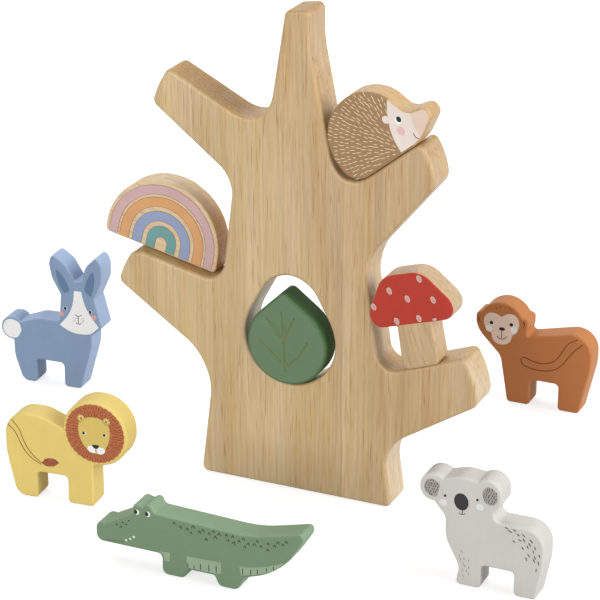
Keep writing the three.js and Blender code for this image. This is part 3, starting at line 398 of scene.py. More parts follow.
# Paint over wood: faint grain, soft mottling and a fine speckle
paint, paint_in, paint_out = new_group(
    "paint_coat", {"Vector": "Vector", "Colour": "Color", "Unevenness": "Float"},
    {"Color": "Color", "Roughness": "Float", "Height": "Float"},
)
paint_vector = paint_in.outputs["Vector"]
under_grain = stretched_noise(paint, paint_vector, (420, 420, 9), 3)
mottle = stretched_noise(paint, paint_vector, (70, 70, 70), 3)
speckle = stretched_noise(paint, paint_vector, (1500, 1500, 1500), 2)
uneven = sum_of(paint, (under_grain, 0.25), (mottle, 0.45), (speckle, 0.3))
uneven_way = maths(paint, "SUBTRACT", uneven, 0.5)
value = maths(paint, "MULTIPLY_ADD", uneven_way, paint_in.outputs["Unevenness"], 1)
paint_tone = node(paint, "HueSaturation", {"Color": paint_in.outputs["Colour"], "Value": value})
paint.links.new(paint_tone.outputs["Color"], paint_out.inputs["Color"])
paint.links.new(ramp(paint, speckle, 0.3, 0.7, 0.46, 0.6), paint_out.inputs["Roughness"])
paint.links.new(sum_of(paint, (under_grain, 0.7), (speckle, 0.3)), paint_out.inputs["Height"])
PAINT_BUMP = 0.12
PAINT_SHINE = 0.2
PAINT_UNEVENNESS = 0.22


def painted(name, colour, tilt=0, unevenness=PAINT_UNEVENNESS):
    """Matt paint on sanded wood."""
    values = {"Colour": tone(*colour), "Unevenness": unevenness, "Vector": grain_along(tilt)}
    return coated(name, paint, values, PAINT_BUMP, PAINT_SHINE)


def figure(name, outline, place, coats, front_coat=1, rim_coat=lambda x, z: 1):
    """Saws a figure from the thinner board and sets it in its place; coats[0] is on its sides and back."""
    blank = saw_board(outline, FIGURE_THICKNESS, FIGURE_EASE, (), front_coat, rim_coat)
    piece = finish_piece(blank, name + "_board", place, coats, name)
    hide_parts(name)
    return piece


def at(x, y, z):
    """A place in mm."""
    return Matrix.Translation(Vector((x, y, z)) * MM)


def leaning(degrees):
    """A lean in the plane of the tree's face."""
    return Matrix.Rotation(radians(degrees), 4, "Y")


leaf_place = at(-4.51, -6, 95.33) @ leaning(-LEAF_LEAN)
# The sides and the rim are a darker green than the front: painted shade of the hollow that the leaf sits in.
leaf_coats = [
    painted("leaf_side_paint_with_painted_shade", (70, 106, 64), LEAF_LEAN),
    painted("leaf_front_paint", (103, 127, 97), LEAF_LEAN),
    painted("leaf_rim_paint_with_painted_shade", (84, 111, 77), LEAF_LEAN),
]
leaf_piece = figure("leaf", LEAF_OUTLINE, leaf_place, leaf_coats, rim_coat=lambda x, z: 2)
engraving = bmesh.new()
for (x0, z0), (x1, z1) in LEAF_VEINS:
    length = Vector((x1 - x0, z1 - z0)).length
    nose = bmesh.ops.create_uvsphere(engraving, u_segments=12, v_segments=8, radius=VEIN_RADIUS * MM)
    rod = nose["verts"]
    above_equator = [vert for vert in rod if vert.co.z > VEIN_RADIUS * MM * 0.1]
    bmesh.ops.translate(engraving, vec=(0, 0, length * MM), verts=above_equator)
    along = at(x0, FRONT, z0) @ leaning(90 - atan2(z1 - z0, x1 - x0) * 180 / pi)
    bmesh.ops.transform(engraving, matrix=along, verts=rod)
vein_stain = painted("vein_olive_stain", (116, 128, 86))
cutter = finish_piece(engraving, "vein_cutter", leaf_place, [vein_stain], "leaf")
cut = leaf_piece.modifiers.new("veins", "BOOLEAN")
cut.operation = "DIFFERENCE"
cut.solver = "EXACT"
cut.use_self = True
cut.material_mode = "TRANSFER"
cut.object = cutter
bpy.context.view_layer.update()
cut_leaf = leaf_piece.evaluated_get(bpy.context.evaluated_depsgraph_get())
engraved = bpy.data.meshes.new_from_object(cut_leaf)
leaf_piece.modifiers.clear()
leaf_piece.data = engraved
bpy.data.objects.remove(cutter)
clean = bmesh.new()
clean.from_mesh(engraved)
# The cut lists its corners in any order, so they are sorted to be welded the same way each time
clean.verts.sort(key=lambda vert: SORTING_WAY.dot(vert.co))
bmesh.ops.remove_doubles(clean, verts=clean.verts, dist=VEIN_WELD * MM)
bmesh.ops.dissolve_degenerate(clean, edges=clean.edges, dist=VEIN_SLIVER * MM)
clean.to_mesh(engraved)
clean.free()
soften(leaf_piece)

# Rainbow: a half round on a short skirt, in clear lacquered wood. Four arches are printed on the
# front, with bare wood between them. It lies loose on the lower left branch.
RAINBOW_LEAN = 12.8
RAINBOW_GRAIN = 90 - RAINBOW_LEAN
RAINBOW_OUTLINE = [(-38, 0, 3.5), (-38, 45.8, 38), (38, 45.8, 38), (38, 0, 3)]
INK_SINK = 0.05
INK_LAYER = 0.05
INK_FIRST = 0.1
INK_LINE_LAYER = 3
INK_FLATNESS = 0.01
INK_CREASE = 0.1
SMALL_DAB = 1.6
SMALL_DAB_SIDES, DAB_SIDES = 12, 32


def ink_dab(film, x, z, across, up, turn=0):
    """An oval dab of ink: half its width and height in mm, and its turn in degrees."""
    flat = Matrix.Rotation(pi / 2, 4, "X") @ Matrix.Diagonal((across * MM, up * MM, 1, 1))
    sides = SMALL_DAB_SIDES if max(across, up) < SMALL_DAB else DAB_SIDES
    bmesh.ops.create_circle(
        film, cap_ends=True, segments=sides, radius=1, matrix=at(x, 0, z) @ leaning(-turn) @ flat,
    )


def ink_dabs(film, spots, across, up, turn=0):
    """The same dab in several places."""
    for x, z in spots:
        ink_dab(film, x, z, across, up, turn)


def ink_area(film, corners):
    """An area of ink inside a rounded outline."""
    draw(film, corners)
    fill(film)


def ink_line(film, corners, width):
    """A drawn line of ink, already as thick as the top layer."""
    draw(film, corners, closed=False)
    line = [edge for edge in film.edges if not edge.link_faces]
    walls = bmesh.ops.extrude_edge_only(film, edges=line)["geom"]
    front = [item for item in walls if isinstance(item, bmesh.types.BMVert)]
    depth = INK_SINK + INK_FIRST + INK_LINE_LAYER * INK_LAYER
    bmesh.ops.translate(film, vec=(0, -depth * MM, 0), verts=front)
    strips = [item for item in walls if isinstance(item, bmesh.types.BMFace)]
    bmesh.ops.recalc_face_normals(film, faces=strips)
    bmesh.ops.solidify(film, geom=strips, thickness=width * MM)


def is_flat_ink(face):
    """Whether a face is ink still to be thickened, and not part of a line."""
    at_back = abs(face.normal.y) > 0.5 and face.calc_center_median().y > -INK_FLATNESS * MM
    return at_back and all(
        len(edge.link_faces) == 1 or abs(edge.calc_face_angle()) < INK_CREASE for edge in face.edges
    )


def printer(body, place, unevenness=PAINT_UNEVENNESS, tilt=0):
    """Sets up a figure's front for printing; what it returns prints a film of ink over the lower layers."""
    def print_ink(film, name, colour, layer, unevenness=unevenness):
        flat = [face for face in film.faces if is_flat_ink(face)]
        thicken(film, flat, INK_SINK + INK_FIRST + layer * INK_LAYER)
        on_front = place @ at(0, FRONT + INK_SINK, 0)
        name = body + "_" + name
        finish_piece(film, name, on_front, [painted(name + "_ink", colour, tilt, unevenness)], body)
    return print_ink


def wood(name, pale, dark, end, tilt):
    """Clear lacquered wood with its grain along a leaning piece."""
    return lacquered(name, pale, dark, end, grain_along(tilt))


rainbow_place = at(-93, 4, 136.73) @ leaning(RAINBOW_LEAN)
rainbow_coats = [
    # The side wood's end tone is partly end grain and partly painted shade: it darkens the ends of the arch
    # as deep as the trunk's shade on its right end.
    wood("rainbow_side_wood_with_painted_shade", (230, 207, 170), (204, 172, 132), (0.82, 0.58, 0.34), RAINBOW_GRAIN),
    wood("rainbow_front_wood", (228, 205, 170), (205, 176, 138), (1, 1, 1), RAINBOW_GRAIN),
]
rainbow_piece = figure("rainbow", RAINBOW_OUTLINE, rainbow_place, rainbow_coats)
mark_end_grain(rainbow_piece, RAINBOW_GRAIN)
soften(rainbow_piece)
print_rainbow = printer("rainbow", rainbow_place, 0.4, RAINBOW_GRAIN)
# outer and inner half widths, and the heights of the outer and the inner crown
RAINBOW_ARCHES = {
    "pink": (35.4, 29.6, 43.2, 37.4, (204, 171, 172)),
    "orange": (28, 21.8, 35.6, 29.6, (216, 161, 112)),
    "blue": (19.4, 12.9, 26.6, 20.3, (146, 159, 191)),
    "teal": (9.9, 3.9, 17.2, 10, (110, 158, 156)),
}
for arch, (outer, inner, outer_top, inner_top, colour) in RAINBOW_ARCHES.items():
    film = bmesh.new()
    ink_area(film, [
        (-outer, 1, 0.5), (-outer, outer_top, outer), (outer, outer_top, outer), (outer, 1.3, 0.5),
        (inner, 1.3, 0.5), (inner, inner_top, inner), (-inner, inner_top, inner), (-inner, 1, 0.5),
    ])
    print_rainbow(film, "arch_" + arch, colour, 0)
# Thin brown lines along the edges of every arch: painted shade of the arch edges.
film = bmesh.new()
for outer, inner, outer_top, inner_top, _ in RAINBOW_ARCHES.values():
    for half, top in ((outer, outer_top), (inner, inner_top)):
        ink_line(film, [(-half, 1.4, 0), (-half, top, half), (half, top, half), (half, 1.6, 0)], 0.2)
print_rainbow(film, "arch_outlines", (160, 126, 98), 1)

# Hedgehog: a figure of warm wood whose front is printed brown, with cream spines, a cream face and
# a beige snout. It lies loose on the upper right branch and leans on the top branch.
HEDGEHOG_LEAN = 38.4
HEDGEHOG_OUTLINE = [
    (0, 0, 12), (0, 44.3, 28), (47.3, 44.3, 22), (55.3, 18.4, 7), (67.5, 15.6, 4.5), (67.5, 8.2, 4.5),
    (52.5, 0, 20),
]
HEDGEHOG_EAR = (42.4, 21.4)
FACE_EDGE, FACE_EDGE_CURVE = 38.6, 0.0125
FACE_CREAM = (233, 220, 210)


def face_edge(z):
    """The x at which the brown back meets the cream face."""
    return FACE_EDGE + FACE_EDGE_CURVE * z ** 2


def hedgehog_rim(x, z):
    """The coat on the rim: brown round the back, and bare wood round the face."""
    return 0 if x > face_edge(z) else 1


hedgehog_place = at(36.47, -4, 199.91) @ leaning(-HEDGEHOG_LEAN)
hedgehog_coats = [
    wood("hedgehog_warm_wood", (207, 176, 134), (188, 152, 107), (0.94, 0.9, 0.86), HEDGEHOG_LEAN),
    painted("hedgehog_brown_print", (160, 128, 92), HEDGEHOG_LEAN, 0.35),
]
hedgehog_piece = figure(
    "hedgehog", HEDGEHOG_OUTLINE, hedgehog_place, hedgehog_coats, 1, hedgehog_rim,
)
mark_end_grain(hedgehog_piece, HEDGEHOG_LEAN)
soften(hedgehog_piece)
print_hedgehog = printer("hedgehog", hedgehog_place, tilt=HEDGEHOG_LEAN)
film = bmesh.new()
ink_area(film, [
    (50.1, 30.2, 0.4), (54.4, 17.3, 8.2), (66.3, 14.55, 3.3), (66.3, 8.95, 3.3), (52.2, 1.2, 18.8),
    (38.7, 1.2, 0.3), (39.6, 11.2, 30), (42.6, 19, 30), (47.1, 26.5, 20),
])
print_hedgehog(film, "cream_face", FACE_CREAM, 1)
film = bmesh.new()
ink_dab(film, *HEDGEHOG_EAR, 2.1, 2.4)
print_hedgehog(film, "cream_ear", FACE_CREAM, 2)
film = bmesh.new()
ink_area(film, [(57.3, 16.6, 0.3), (66.3, 14.55, 3.3), (66.3, 8.95, 3.3), (54.9, 2.7, 0.3), (54.7, 9.7, 15)])
print_hedgehog(film, "beige_snout", (228, 204, 185), 2)
SPINE_ROOT = (42, 0)
SPINE_ROWS = 14
SPINE_FIRST_ROW = 5
SPINE_ROW_GAP = 3.5
SPINE_SPACING = 2.5
SPINE_SWEEP, SPINE_SWEEP_START = 2, 1.25
SPINE_HALF_WIDTH = 0.22
BACK_CENTRE, BACK_RADIUS = (28, 16.3), 27.1
CROWN_CENTRE, CROWN_RADIUS, CROWN_START = (31.1, 22.3), 21.1, 29
RUMP_TOP, RUMP_MARGIN, RUMP_CORNER = 15.5, 1.6, 16.5
BELLY_MARGIN = 2
EAR_MARGIN = 3
FACE_MARGIN = 0.4


def near(x, z, centre, reach):
    """Whether a place lies within reach of a centre."""
    return ((x - centre[0]) ** 2 + (z - centre[1]) ** 2) ** 0.5 < reach


def on_back(x, z, length, sweep):
    """Whether a spine lies on the brown back, clear of its edge, the ear and the face."""
    in_round = x < CROWN_START and near(x, z, BACK_CENTRE, BACK_RADIUS - 0.5 * length)
    in_crown = x >= CROWN_START and near(x, z, CROWN_CENTRE, CROWN_RADIUS - 0.5 * length)
    in_rump = z < RUMP_TOP and x > RUMP_MARGIN + length and x + z > RUMP_CORNER
    by_ear = near(x, z, HEDGEHOG_EAR, EAR_MARGIN + length)
    behind_face = x + length * abs(cos(sweep)) + FACE_MARGIN < face_edge(z)
    return z > BELLY_MARGIN and (in_round or in_rump or in_crown) and not by_ear and behind_face


spine_jitter = Random(7)
film = bmesh.new()
for row in range(SPINE_ROWS):
    radius = SPINE_FIRST_ROW + SPINE_ROW_GAP * row
    count = int(SPINE_SWEEP * radius / SPINE_SPACING) + 1
    for step in range(count):
        share = (step + 0.5 * (row % 2) + spine_jitter.uniform(-0.2, 0.2)) / count
        sweep = SPINE_SWEEP_START + SPINE_SWEEP * share
        reach = radius + spine_jitter.uniform(-0.6, 0.6)
        x, z = SPINE_ROOT[0] + reach * cos(sweep), SPINE_ROOT[1] + reach * sin(sweep)
        length = spine_jitter.uniform(1.1, 1.9)
        if on_back(x, z, length, sweep):
            lie = sweep * 180 / pi + spine_jitter.uniform(-8, 8)
            ink_dab(film, x, z, length, SPINE_HALF_WIDTH, lie)
print_hedgehog(film, "cream_spines", (235, 211, 178), 1)
film = bmesh.new()
ink_dab(film, 46.4, 11.4, 2.2, 2.7)
print_hedgehog(film, "pink_cheek", (228, 190, 186), 2)
film = bmesh.new()
ink_dab(film, 48.9, 17.3, 2.2, 2.4)
print_hedgehog(film, "eye_white", (250, 248, 244), 2)
film = bmesh.new()
ink_dab(film, 49.4, 17.6, 1.45, 1.8)
ink_line(film, [(52.4, 6.4, 0), (51.6, 4, 2.4), (53.2, 2.5, 0)], 0.4)
print_hedgehog(film, "eye_and_smile", (45, 43, 44), 3)

# Mushroom: a cap with sloping shoulders on a stem, sawn from pale wood, with the foot cut on a slant.
# The front of the cap is printed red with pale dots. It stands loose on the lower right branch.
MUSHROOM_LEAN = 16.6
CAP_FOOT = 26.9
MUSHROOM_OUTLINE = [
    (-12, -0.8, 5), (-8.05, CAP_FOOT, 1.5), (-23.6, CAP_FOOT, 7), (-23.6, 37.7, 10), (-9.5, 58, 13),
    (15.9, 58, 13), (30, 37.7, 10), (30, CAP_FOOT, 7), (14.45, CAP_FOOT, 1.5), (12, 0.8, 3),
]
CAP_RED = (180, 60, 46)
mushroom_place = at(81.59, -7, 96.62) @ leaning(-MUSHROOM_LEAN)
mushroom_coats = [
    # The end tone above 1 lightens and cools the faces that cut across the grain, such as the top of the cap:
    # a painted highlight.
    wood("mushroom_pale_wood_with_painted_highlight", (205, 178, 140), (179, 148, 110), (1.15, 1.17, 1.3), MUSHROOM_LEAN),
    painted("mushroom_red_print", CAP_RED, MUSHROOM_LEAN, 0.4),
]
mushroom_piece = figure(
    "mushroom", MUSHROOM_OUTLINE, mushroom_place, mushroom_coats, 0,
    lambda x, z: 1 if z > CAP_FOOT else 0,
)
mark_end_grain(mushroom_piece, MUSHROOM_LEAN)
soften(mushroom_piece)
print_mushroom = printer("mushroom", mushroom_place, 0.4, MUSHROOM_LEAN)
film = bmesh.new()
ink_area(film, [
    (-22.3, CAP_FOOT + 0.2, 5.7), (-22.3, 37.3, 8.7), (-8.8, 56.7, 11.7), (15.2, 56.7, 11.7),
    (28.7, 37.3, 8.7), (28.7, CAP_FOOT + 0.2, 5.7),
])
print_mushroom(film, "red_cap", CAP_RED, 0)
CAP_DOTS = [
    (13.7, 53.3), (-6.8, 48.5), (3.2, 42.4), (18.9, 39.8), (-19.2, 40.2), (-7.2, 29.8), (7.1, 29.8),
]
film = bmesh.new()
ink_dabs(film, CAP_DOTS, 1.5, 2.2, 10)
ink_dab(film, 16.6, 28.1, 1.4, 0.8, 6)
print_mushroom(film, "pale_dots", (214, 182, 172), 1)
film = bmesh.new()
ink_dabs(film, [(x + 0.1, z - 0.1) for x, z in CAP_DOTS], 0.95, 1.5, 10)
print_mushroom(film, "dot_middles", (198, 158, 148), 2)

# Bunny: a standing animal with upright ears and a round tail, sawn from one board and dipped in
# dusty blue paint. The face, the inner ears and the tail are printed on the front.
BUNNY_OUTLINE = [
    # heel, rump and tail
    (-20.3, 0, 6), (-26.1, 18, 20), (-26.1, 28.7, 1.5), (-34.8, 28.7, 8), (-34.8, 44.7, 8), (-23.1, 44.7, 8),
    (-20.7, 41.8, 1.5),
    # back, left ear and right ear
    (-7.9, 46.8, 14), (7.8, 46.8, 1.5), (9.4, 65.5, 1.5), (3.3, 76.7, 10), (1.3, 88, 10), (4.5, 93.4, 2.8),
    (13.8, 86.9, 10), (20, 76.4, 1.5), (25, 76.4, 1.5), (27.5, 86.8, 10), (35.6, 94.9, 2.8), (39.7, 90.1, 10),
    (39.6, 78.6, 10), (33.7, 65.5, 1.5),
    # jaw, chest, front foot and leg arch
    (38.8, 46, 2.5), (31.2, 39.5, 1.5), (31.2, 32, 25), (22, 0, 2.5), (10, 0, 2.5), (10, 16.7, 3),
    (-10, 16.7, 3), (-10, 0, 2.5),
]
bunny_place = at(-211.8, 70.3, 0) @ Matrix.Rotation(radians(4), 4, "Z")
# The sides are painted lighter than the front: partly two-tone paint, partly painted highlight.
bunny_coats = [painted("bunny_side_paint_with_painted_highlight", (158, 178, 209)), painted("bunny_front_paint", (133, 154, 182))]
soften(figure("bunny", BUNNY_OUTLINE, bunny_place, bunny_coats))
print_bunny = printer("bunny", bunny_place)
BUNNY_EYES = [(12.8, 56.6), (30.7, 56.3)]
WHISKER_DOTS = [
    (18.6, 50.6), (19.6, 49.2), (20.4, 50.4), (18.9, 48.4), (24.2, 50.4), (25.5, 49.6), (24.8, 48.6),
    (25.9, 51),
]
film = bmesh.new()
ink_area(film, [
    (19.5, 69.7, 0.5), (18.8, 62.4, 30), (16.3, 53.4, 25), (8.4, 44.3, 0.3), (15.1, 40.4, 25), (24, 38.9, 30),
    (31, 40.8, 6), (36.4, 46, 0.3), (28.5, 56.2, 30), (25.8, 63.4, 30), (24.7, 69.7, 0.5),
])
ink_area(film, [
    (-33.2, 43.1, 6.2), (-33.2, 30.3, 6.2), (-23, 29.9, 4), (-19.8, 36, 2.4), (-21, 41.2, 3), (-25, 43.1, 4),
])
print_bunny(film, "white_blaze_and_tail", (238, 238, 238), 0)
film = bmesh.new()
ink_area(film, [
    (6.7, 83.6, 0.8), (10.1, 81.3, 12), (13.6, 76.7, 14), (16.6, 69.2, 1), (12, 66.9, 1), (9.7, 71.2, 20),
    (7.7, 76.6, 20),
])
ink_area(film, [
    (33.8, 85.2, 0.8), (34.4, 78.9, 14), (33.1, 71.6, 18), (31.6, 66.8, 0.8), (26.8, 70.5, 1.4),
    (28.5, 77.4, 20), (31.3, 82.7, 16),
])
print_bunny(film, "inner_ears", (97, 124, 156), 0)
film = bmesh.new()
ink_dabs(film, [(10, 52.4), (33.2, 52.8)], 1.7, 1.7)
print_bunny(film, "pink_cheeks", (208, 164, 158), 0)
film = bmesh.new()
ink_dabs(film, BUNNY_EYES, 1.4, 1.35)
print_bunny(film, "eye_whites", (240, 240, 240), 1)
film = bmesh.new()
ink_dabs(film, BUNNY_EYES, 1, 1.25)
ink_line(film, [(19.6, 53.4, 0), (22.1, 52, 2), (24.5, 53.6, 0)], 0.4)
ink_line(film, [(22.1, 52, 0), (22.1, 46.9, 0)], 0.4)
ink_line(film, [(20.4, 47.6, 0), (21.2, 46.5, 1), (22.1, 47, 0)], 0.35)
ink_line(film, [(22.1, 47, 0), (23, 46.5, 1), (23.8, 47.7, 0)], 0.35)
ink_dabs(film, WHISKER_DOTS, 0.26, 0.26)
print_bunny(film, "eyes_and_mouth", (40, 38, 42), 2)

# Lion: a standing animal with a round head, sawn from one board and dipped in yellow paint. The mane,
# the face and the long tail are printed on the front.
LION_OUTLINE = [
    # heel, rump and back
    (-23.9, 0, 7), (-30.1, 28, 40), (-30.1, 55, 15), (-7.1, 55, 16), (8.4, 48.9, 0.5),
    # head, chest, front foot and leg arch
    (8.4, 69.4, 20.5), (49.4, 69.4, 20.5), (49.4, 28.4, 20.5), (26.9, 28.4, 4), (26.9, 0, 2.5),
    (9.9, 0, 2.5), (9.9, 17.4, 3), (-9.9, 17.4, 3), (-9.9, 0, 2.5),
]
LION_HEAD = (28.9, 48.9)
lion_place = at(-126.7, -77.3, 0) @ Matrix.Rotation(radians(4.5), 4, "Z")
lion_coats = [painted("lion_side_paint", (222, 198, 118)), painted("lion_front_paint", (226, 201, 117))]
soften(figure("lion", LION_OUTLINE, lion_place, lion_coats))
print_lion = printer("lion", lion_place)


def around(centre, radius, turn):
    """A place on a circle round a centre."""
    return centre[0] + radius * cos(turn), centre[1] + radius * sin(turn)


MANE_LOBES = 34
MANE_HAIRS = [
    # radius of the ring, number of hairs and half their length
    (16.8, 60, 1.3), (14.2, 54, 1.2), (11.9, 44, 1.1),
]
TUFT_HAIRS = 16
film = bmesh.new()
ink_area(film, [
    (*around(LION_HEAD, radius, 2 * pi * (lobe + part) / MANE_LOBES), fillet)
    for lobe in range(MANE_LOBES) for part, radius, fillet in ((0, 19, 2), (0.34, 19, 2), (0.67, 18.5, 0.2))
])
print_lion(film, "mane", (180, 105, 68), 0, 0.35)
film = bmesh.new()
ink_area(film, [
    (-7, 24, 0.3), (-3.4, 27.6, 4), (1.6, 28.3, 4), (5.2, 26, 0.6), (1.4, 22.8, 4), (-3.4, 22.2, 4),
])
print_lion(film, "tail_tuft", (160, 90, 62), 0, 0.35)
mane_jitter = Random(3)
film = bmesh.new()
for radius, count, length in MANE_HAIRS:
    for step in range(count):
        turn = 2 * pi * (step + mane_jitter.uniform(-0.25, 0.25)) / count
        reach = radius + mane_jitter.uniform(-0.5, 0.5)
        ink_dab(film, *around(LION_HEAD, reach, turn), length, 0.2, turn * 180 / pi)
for step in range(TUFT_HAIRS):
    x, z = -4.6 + 0.52 * step, 25.2 + mane_jitter.uniform(-1.6, 1.6)
    ink_dab(film, x, z, 0.6, 0.17, mane_jitter.uniform(10, 60))
print_lion(film, "brown_hairs", (120, 62, 38), 1)
film = bmesh.new()
ink_line(film, [
    (-27.9, 46.8, 0), (-22.6, 42.1, 12), (-19.2, 33.2, 30), (-13.8, 26.4, 20), (-6.9, 23.2, 0),
], 0.34)
ink_line(film, [
    (-25.4, 50.2, 0), (-20.5, 45, 12), (-17.8, 37.2, 30), (-13.7, 29.6, 20), (-6.9, 24.4, 0),
], 0.34)
print_lion(film, "tail_lines", (138, 88, 44), 0)
film = bmesh.new()
ink_area(film, [
    (18.4, 55, 5), (18.2, 48, 14), (21.1, 40.4, 14), (24.7, 37, 8), (29.6, 35.3, 8), (34, 37.2, 8),
    (37.3, 43, 14), (38.8, 49.4, 14), (38.1, 56.2, 5), (33.5, 59.3, 12), (27.4, 59.6, 14), (21.8, 58.2, 10),
])
ink_dabs(film, [(20.2, 57.9), (36.7, 57.9)], 2.3, 2.3)
print_lion(film, "face", (214, 189, 104), 1)
film = bmesh.new()
ink_dabs(film, [(20.4, 57.9), (36.5, 57.9)], 1.5, 1.6)
print_lion(film, "ear_rings", (224, 202, 132), 2)
film = bmesh.new()
ink_dabs(film, [(20.5, 57.7), (36.4, 57.7)], 0.8, 0.95)
print_lion(film, "ear_middles", (164, 124, 66), 3)
film = bmesh.new()
ink_dabs(film, [(21.9, 48.3), (35.1, 48.8)], 1.5, 1)
ink_dab(film, 26.9, 38.5, 3, 2.3, -12)
ink_dab(film, 32.3, 38.3, 3, 2.3, 12)
print_lion(film, "muzzle_and_eye_whites", (242, 241, 238), 2)
film = bmesh.new()
ink_dabs(film, [(21.7, 48.4), (35, 48.9)], 0.9, 0.95)
ink_area(film, [(25.9, 41.7, 0.8), (32.2, 41.8, 0.8), (30.2, 39.3, 0.8), (28.6, 39.2, 0.8)])
ink_line(film, [(29.5, 39.4, 0), (29.6, 37, 0)], 0.35)
print_lion(film, "eyes_and_nose", (42, 38, 38), 3)

# Crocodile: a long low animal, sawn from one board and dipped in green paint. Pale belly panels,
# scale marks, eyes and teeth are printed on the front.
CROCODILE_GRAIN = 90
CROCODILE_OUTLINE = [
    # front foot, jaw and snout
    (-24.8, 0, 4), (-24.8, 12.6, 3), (-66.8, 12.6, 4.5), (-66.8, 25.8, 4.5), (-60.4, 24.8, 1.5),
    (-42.8, 34.4, 1.5),
    # eyes, back and tail
    (-42.8, 41.6, 2.8), (-35.9, 39.8, 1.5), (-31.8, 43.3, 2.8), (-29, 37.4, 3), (31, 35.4, 60),
    (63, 43.8, 2.4), (63, 38.8, 2.4), (49, 16.6, 40), (26.9, 8.8, 1.5),
    # rear foot and belly
    (22.3, 0, 4), (10.8, 0, 4), (8.2, 6.2, 1.5), (-8.2, 6.2, 1.5), (-10.8, 0, 4),
]
crocodile_place = at(0.3, -132.3, 0)
crocodile_coats = [
    painted("crocodile_side_paint", (132, 158, 129), CROCODILE_GRAIN),
    painted("crocodile_front_paint", (117, 140, 111), CROCODILE_GRAIN),
]
soften(figure("crocodile", CROCODILE_OUTLINE, crocodile_place, crocodile_coats))
print_crocodile = printer("crocodile", crocodile_place, tilt=CROCODILE_GRAIN)
film = bmesh.new()
ink_area(film, [(-8.9, 14.9, 0.5), (-8.7, 7.8, 0.5), (8.6, 7.8, 1), (12.6, 8.8, 0.5), (12.6, 15.6, 0.5)])
ink_area(film, [
    (24, 15.6, 0.5), (24.9, 10.2, 0.5), (36, 13.2, 40), (45.6, 17.4, 30), (52.2, 24.3, 0.3), (36, 16.6, 60),
])
ink_area(film, [(-26.4, 14.2, 0.3), (-23.3, 12.8, 2), (-22.9, 9, 0.5), (-19.8, 9.3, 0.5), (-19.3, 14.9, 0.5)])
print_crocodile(film, "pale_panels", (149, 170, 141), 0)
film = bmesh.new()
SCALE_MARKS = [
    (-16.5, 34.2), (-12.5, 32.6), (-8.3, 32.3), (-5.8, 30.3), (-4.5, 34.4), (-0.5, 31.9), (1.8, 33.4),
    (3.5, 28.2), (5.6, 32.4), (8.1, 34.2), (9.3, 30.8), (11.7, 33.2), (16.3, 33.6), (17, 30.6),
    (20.2, 33.6), (20.6, 29.8), (23.8, 31.6), (26.7, 33.5), (27.3, 28.8), (29.4, 31), (33.5, 31.5),
    (35.3, 33.8), (37.5, 31.2), (41.7, 33.7), (41.5, 29.9), (45.7, 33.2), (47.7, 35.6), (50.8, 35),
    (52.9, 37.2), (-52.9, 25.7), (-50.5, 24.7), (-49.3, 27.7), (-46.9, 27), (-45, 29.6),
]
mark_jitter = Random(5)
for x, z in SCALE_MARKS:
    size = mark_jitter.uniform(1, 1.5) * (0.6 if x < -40 else 1)
    lean = mark_jitter.uniform(-0.3, 0.3)
    peak = (x + lean, z + 0.7 * size)
    for side in (-1, 1):
        foot = (x + side * 0.75 * size, z - 0.7 * size)
        slope = atan2(peak[1] - foot[1], peak[0] - foot[0]) * 180 / pi
        ink_dab(film, (peak[0] + foot[0]) / 2, (peak[1] + foot[1]) / 2, 0.8 * size, 0.27, slope)
BELLY_TICKS = [
    # x, low end and high end
    (-8.2, 8, 9.8), (-4.3, 8, 9.6), (-0.3, 8, 11.4), (5, 8, 11.9), (9.6, 8.5, 12.4), (26, 10.8, 14.4),
    (31, 12, 14.8), (35, 13.2, 15.8), (40.6, 15.7, 18), (45, 17.9, 19.6),
]
for x, low, high in BELLY_TICKS:
    ink_dab(film, x, (low + high) / 2 + 0.3, 0.3, (high - low) / 2 + 0.6)
print_crocodile(film, "scale_marks", (58, 80, 58), 1)
film = bmesh.new()
ink_line(film, [(-60, 14.6, 0), (-47.6, 15.7, 12), (-41.6, 20.4, 0)], 0.25)
print_crocodile(film, "mouth_line", (92, 114, 88), 1)
film = bmesh.new()
ink_dabs(film, [(-39.9, 36.2), (-32.9, 36.3)], 1.55, 1.65)
ink_dabs(film, [(-47.2, 16.7), (-44.5, 18.2), (-42.2, 19.9)], 0.75, 0.75)
print_crocodile(film, "eye_whites_and_teeth", (242, 242, 238), 2, 0.2)
film = bmesh.new()
ink_dabs(film, [(-40.5, 36.3), (-33.5, 36.4)], 1.05, 1.4)
print_crocodile(film, "pupils", (34, 36, 34), 3)

# Koala: a standing animal with round ears, sawn from one board and dipped in pale grey paint. The
# nose, eyes, cheeks, ear patches and fur dashes are printed on the front.
KOALA_OUTLINE = [
    # front foot, chest and left ear
    (-24.8, 0, 2.5), (-22.9, 11, 8), (-31.6, 28, 18), (-31.6, 40.8, 6), (-38.7, 49, 1.5), (-47.3, 49, 8.6),
    (-47.3, 66.2, 8.6), (-35.5, 66.2, 8.6), (-33.1, 64.2, 1.5),
    # crown, right ear and back
    (-22.9, 67.2, 14), (-12.6, 66.2, 1.5), (-10.2, 68.2, 8.6), (1.5, 68.2, 8.6), (1.5, 54.6, 4),
    (-2.7, 49.4, 4), (-2.7, 43.4, 4), (27.1, 43.4, 12), (27.1, 23, 30),
    # rear foot and leg arch
    (22.8, 0, 2.5), (9.8, 0, 2.5), (9.8, 14.6, 3), (-9.8, 14.6, 3), (-9.8, 0, 2.5),
]
koala_place = at(155.8, -74.7, 0)
koala_coats = [painted("koala_side_paint", (207, 204, 198)), painted("koala_front_paint", (205, 202, 195))]
soften(figure("koala", KOALA_OUTLINE, koala_place, koala_coats))
print_koala = printer("koala", koala_place)
film = bmesh.new()
ink_area(film, [
    (-45, 57, 4), (-43.2, 61.8, 4), (-39.4, 63.2, 4), (-35, 60.6, 1.6), (-36.7, 52, 1.4), (-41.6, 52.3, 5),
])
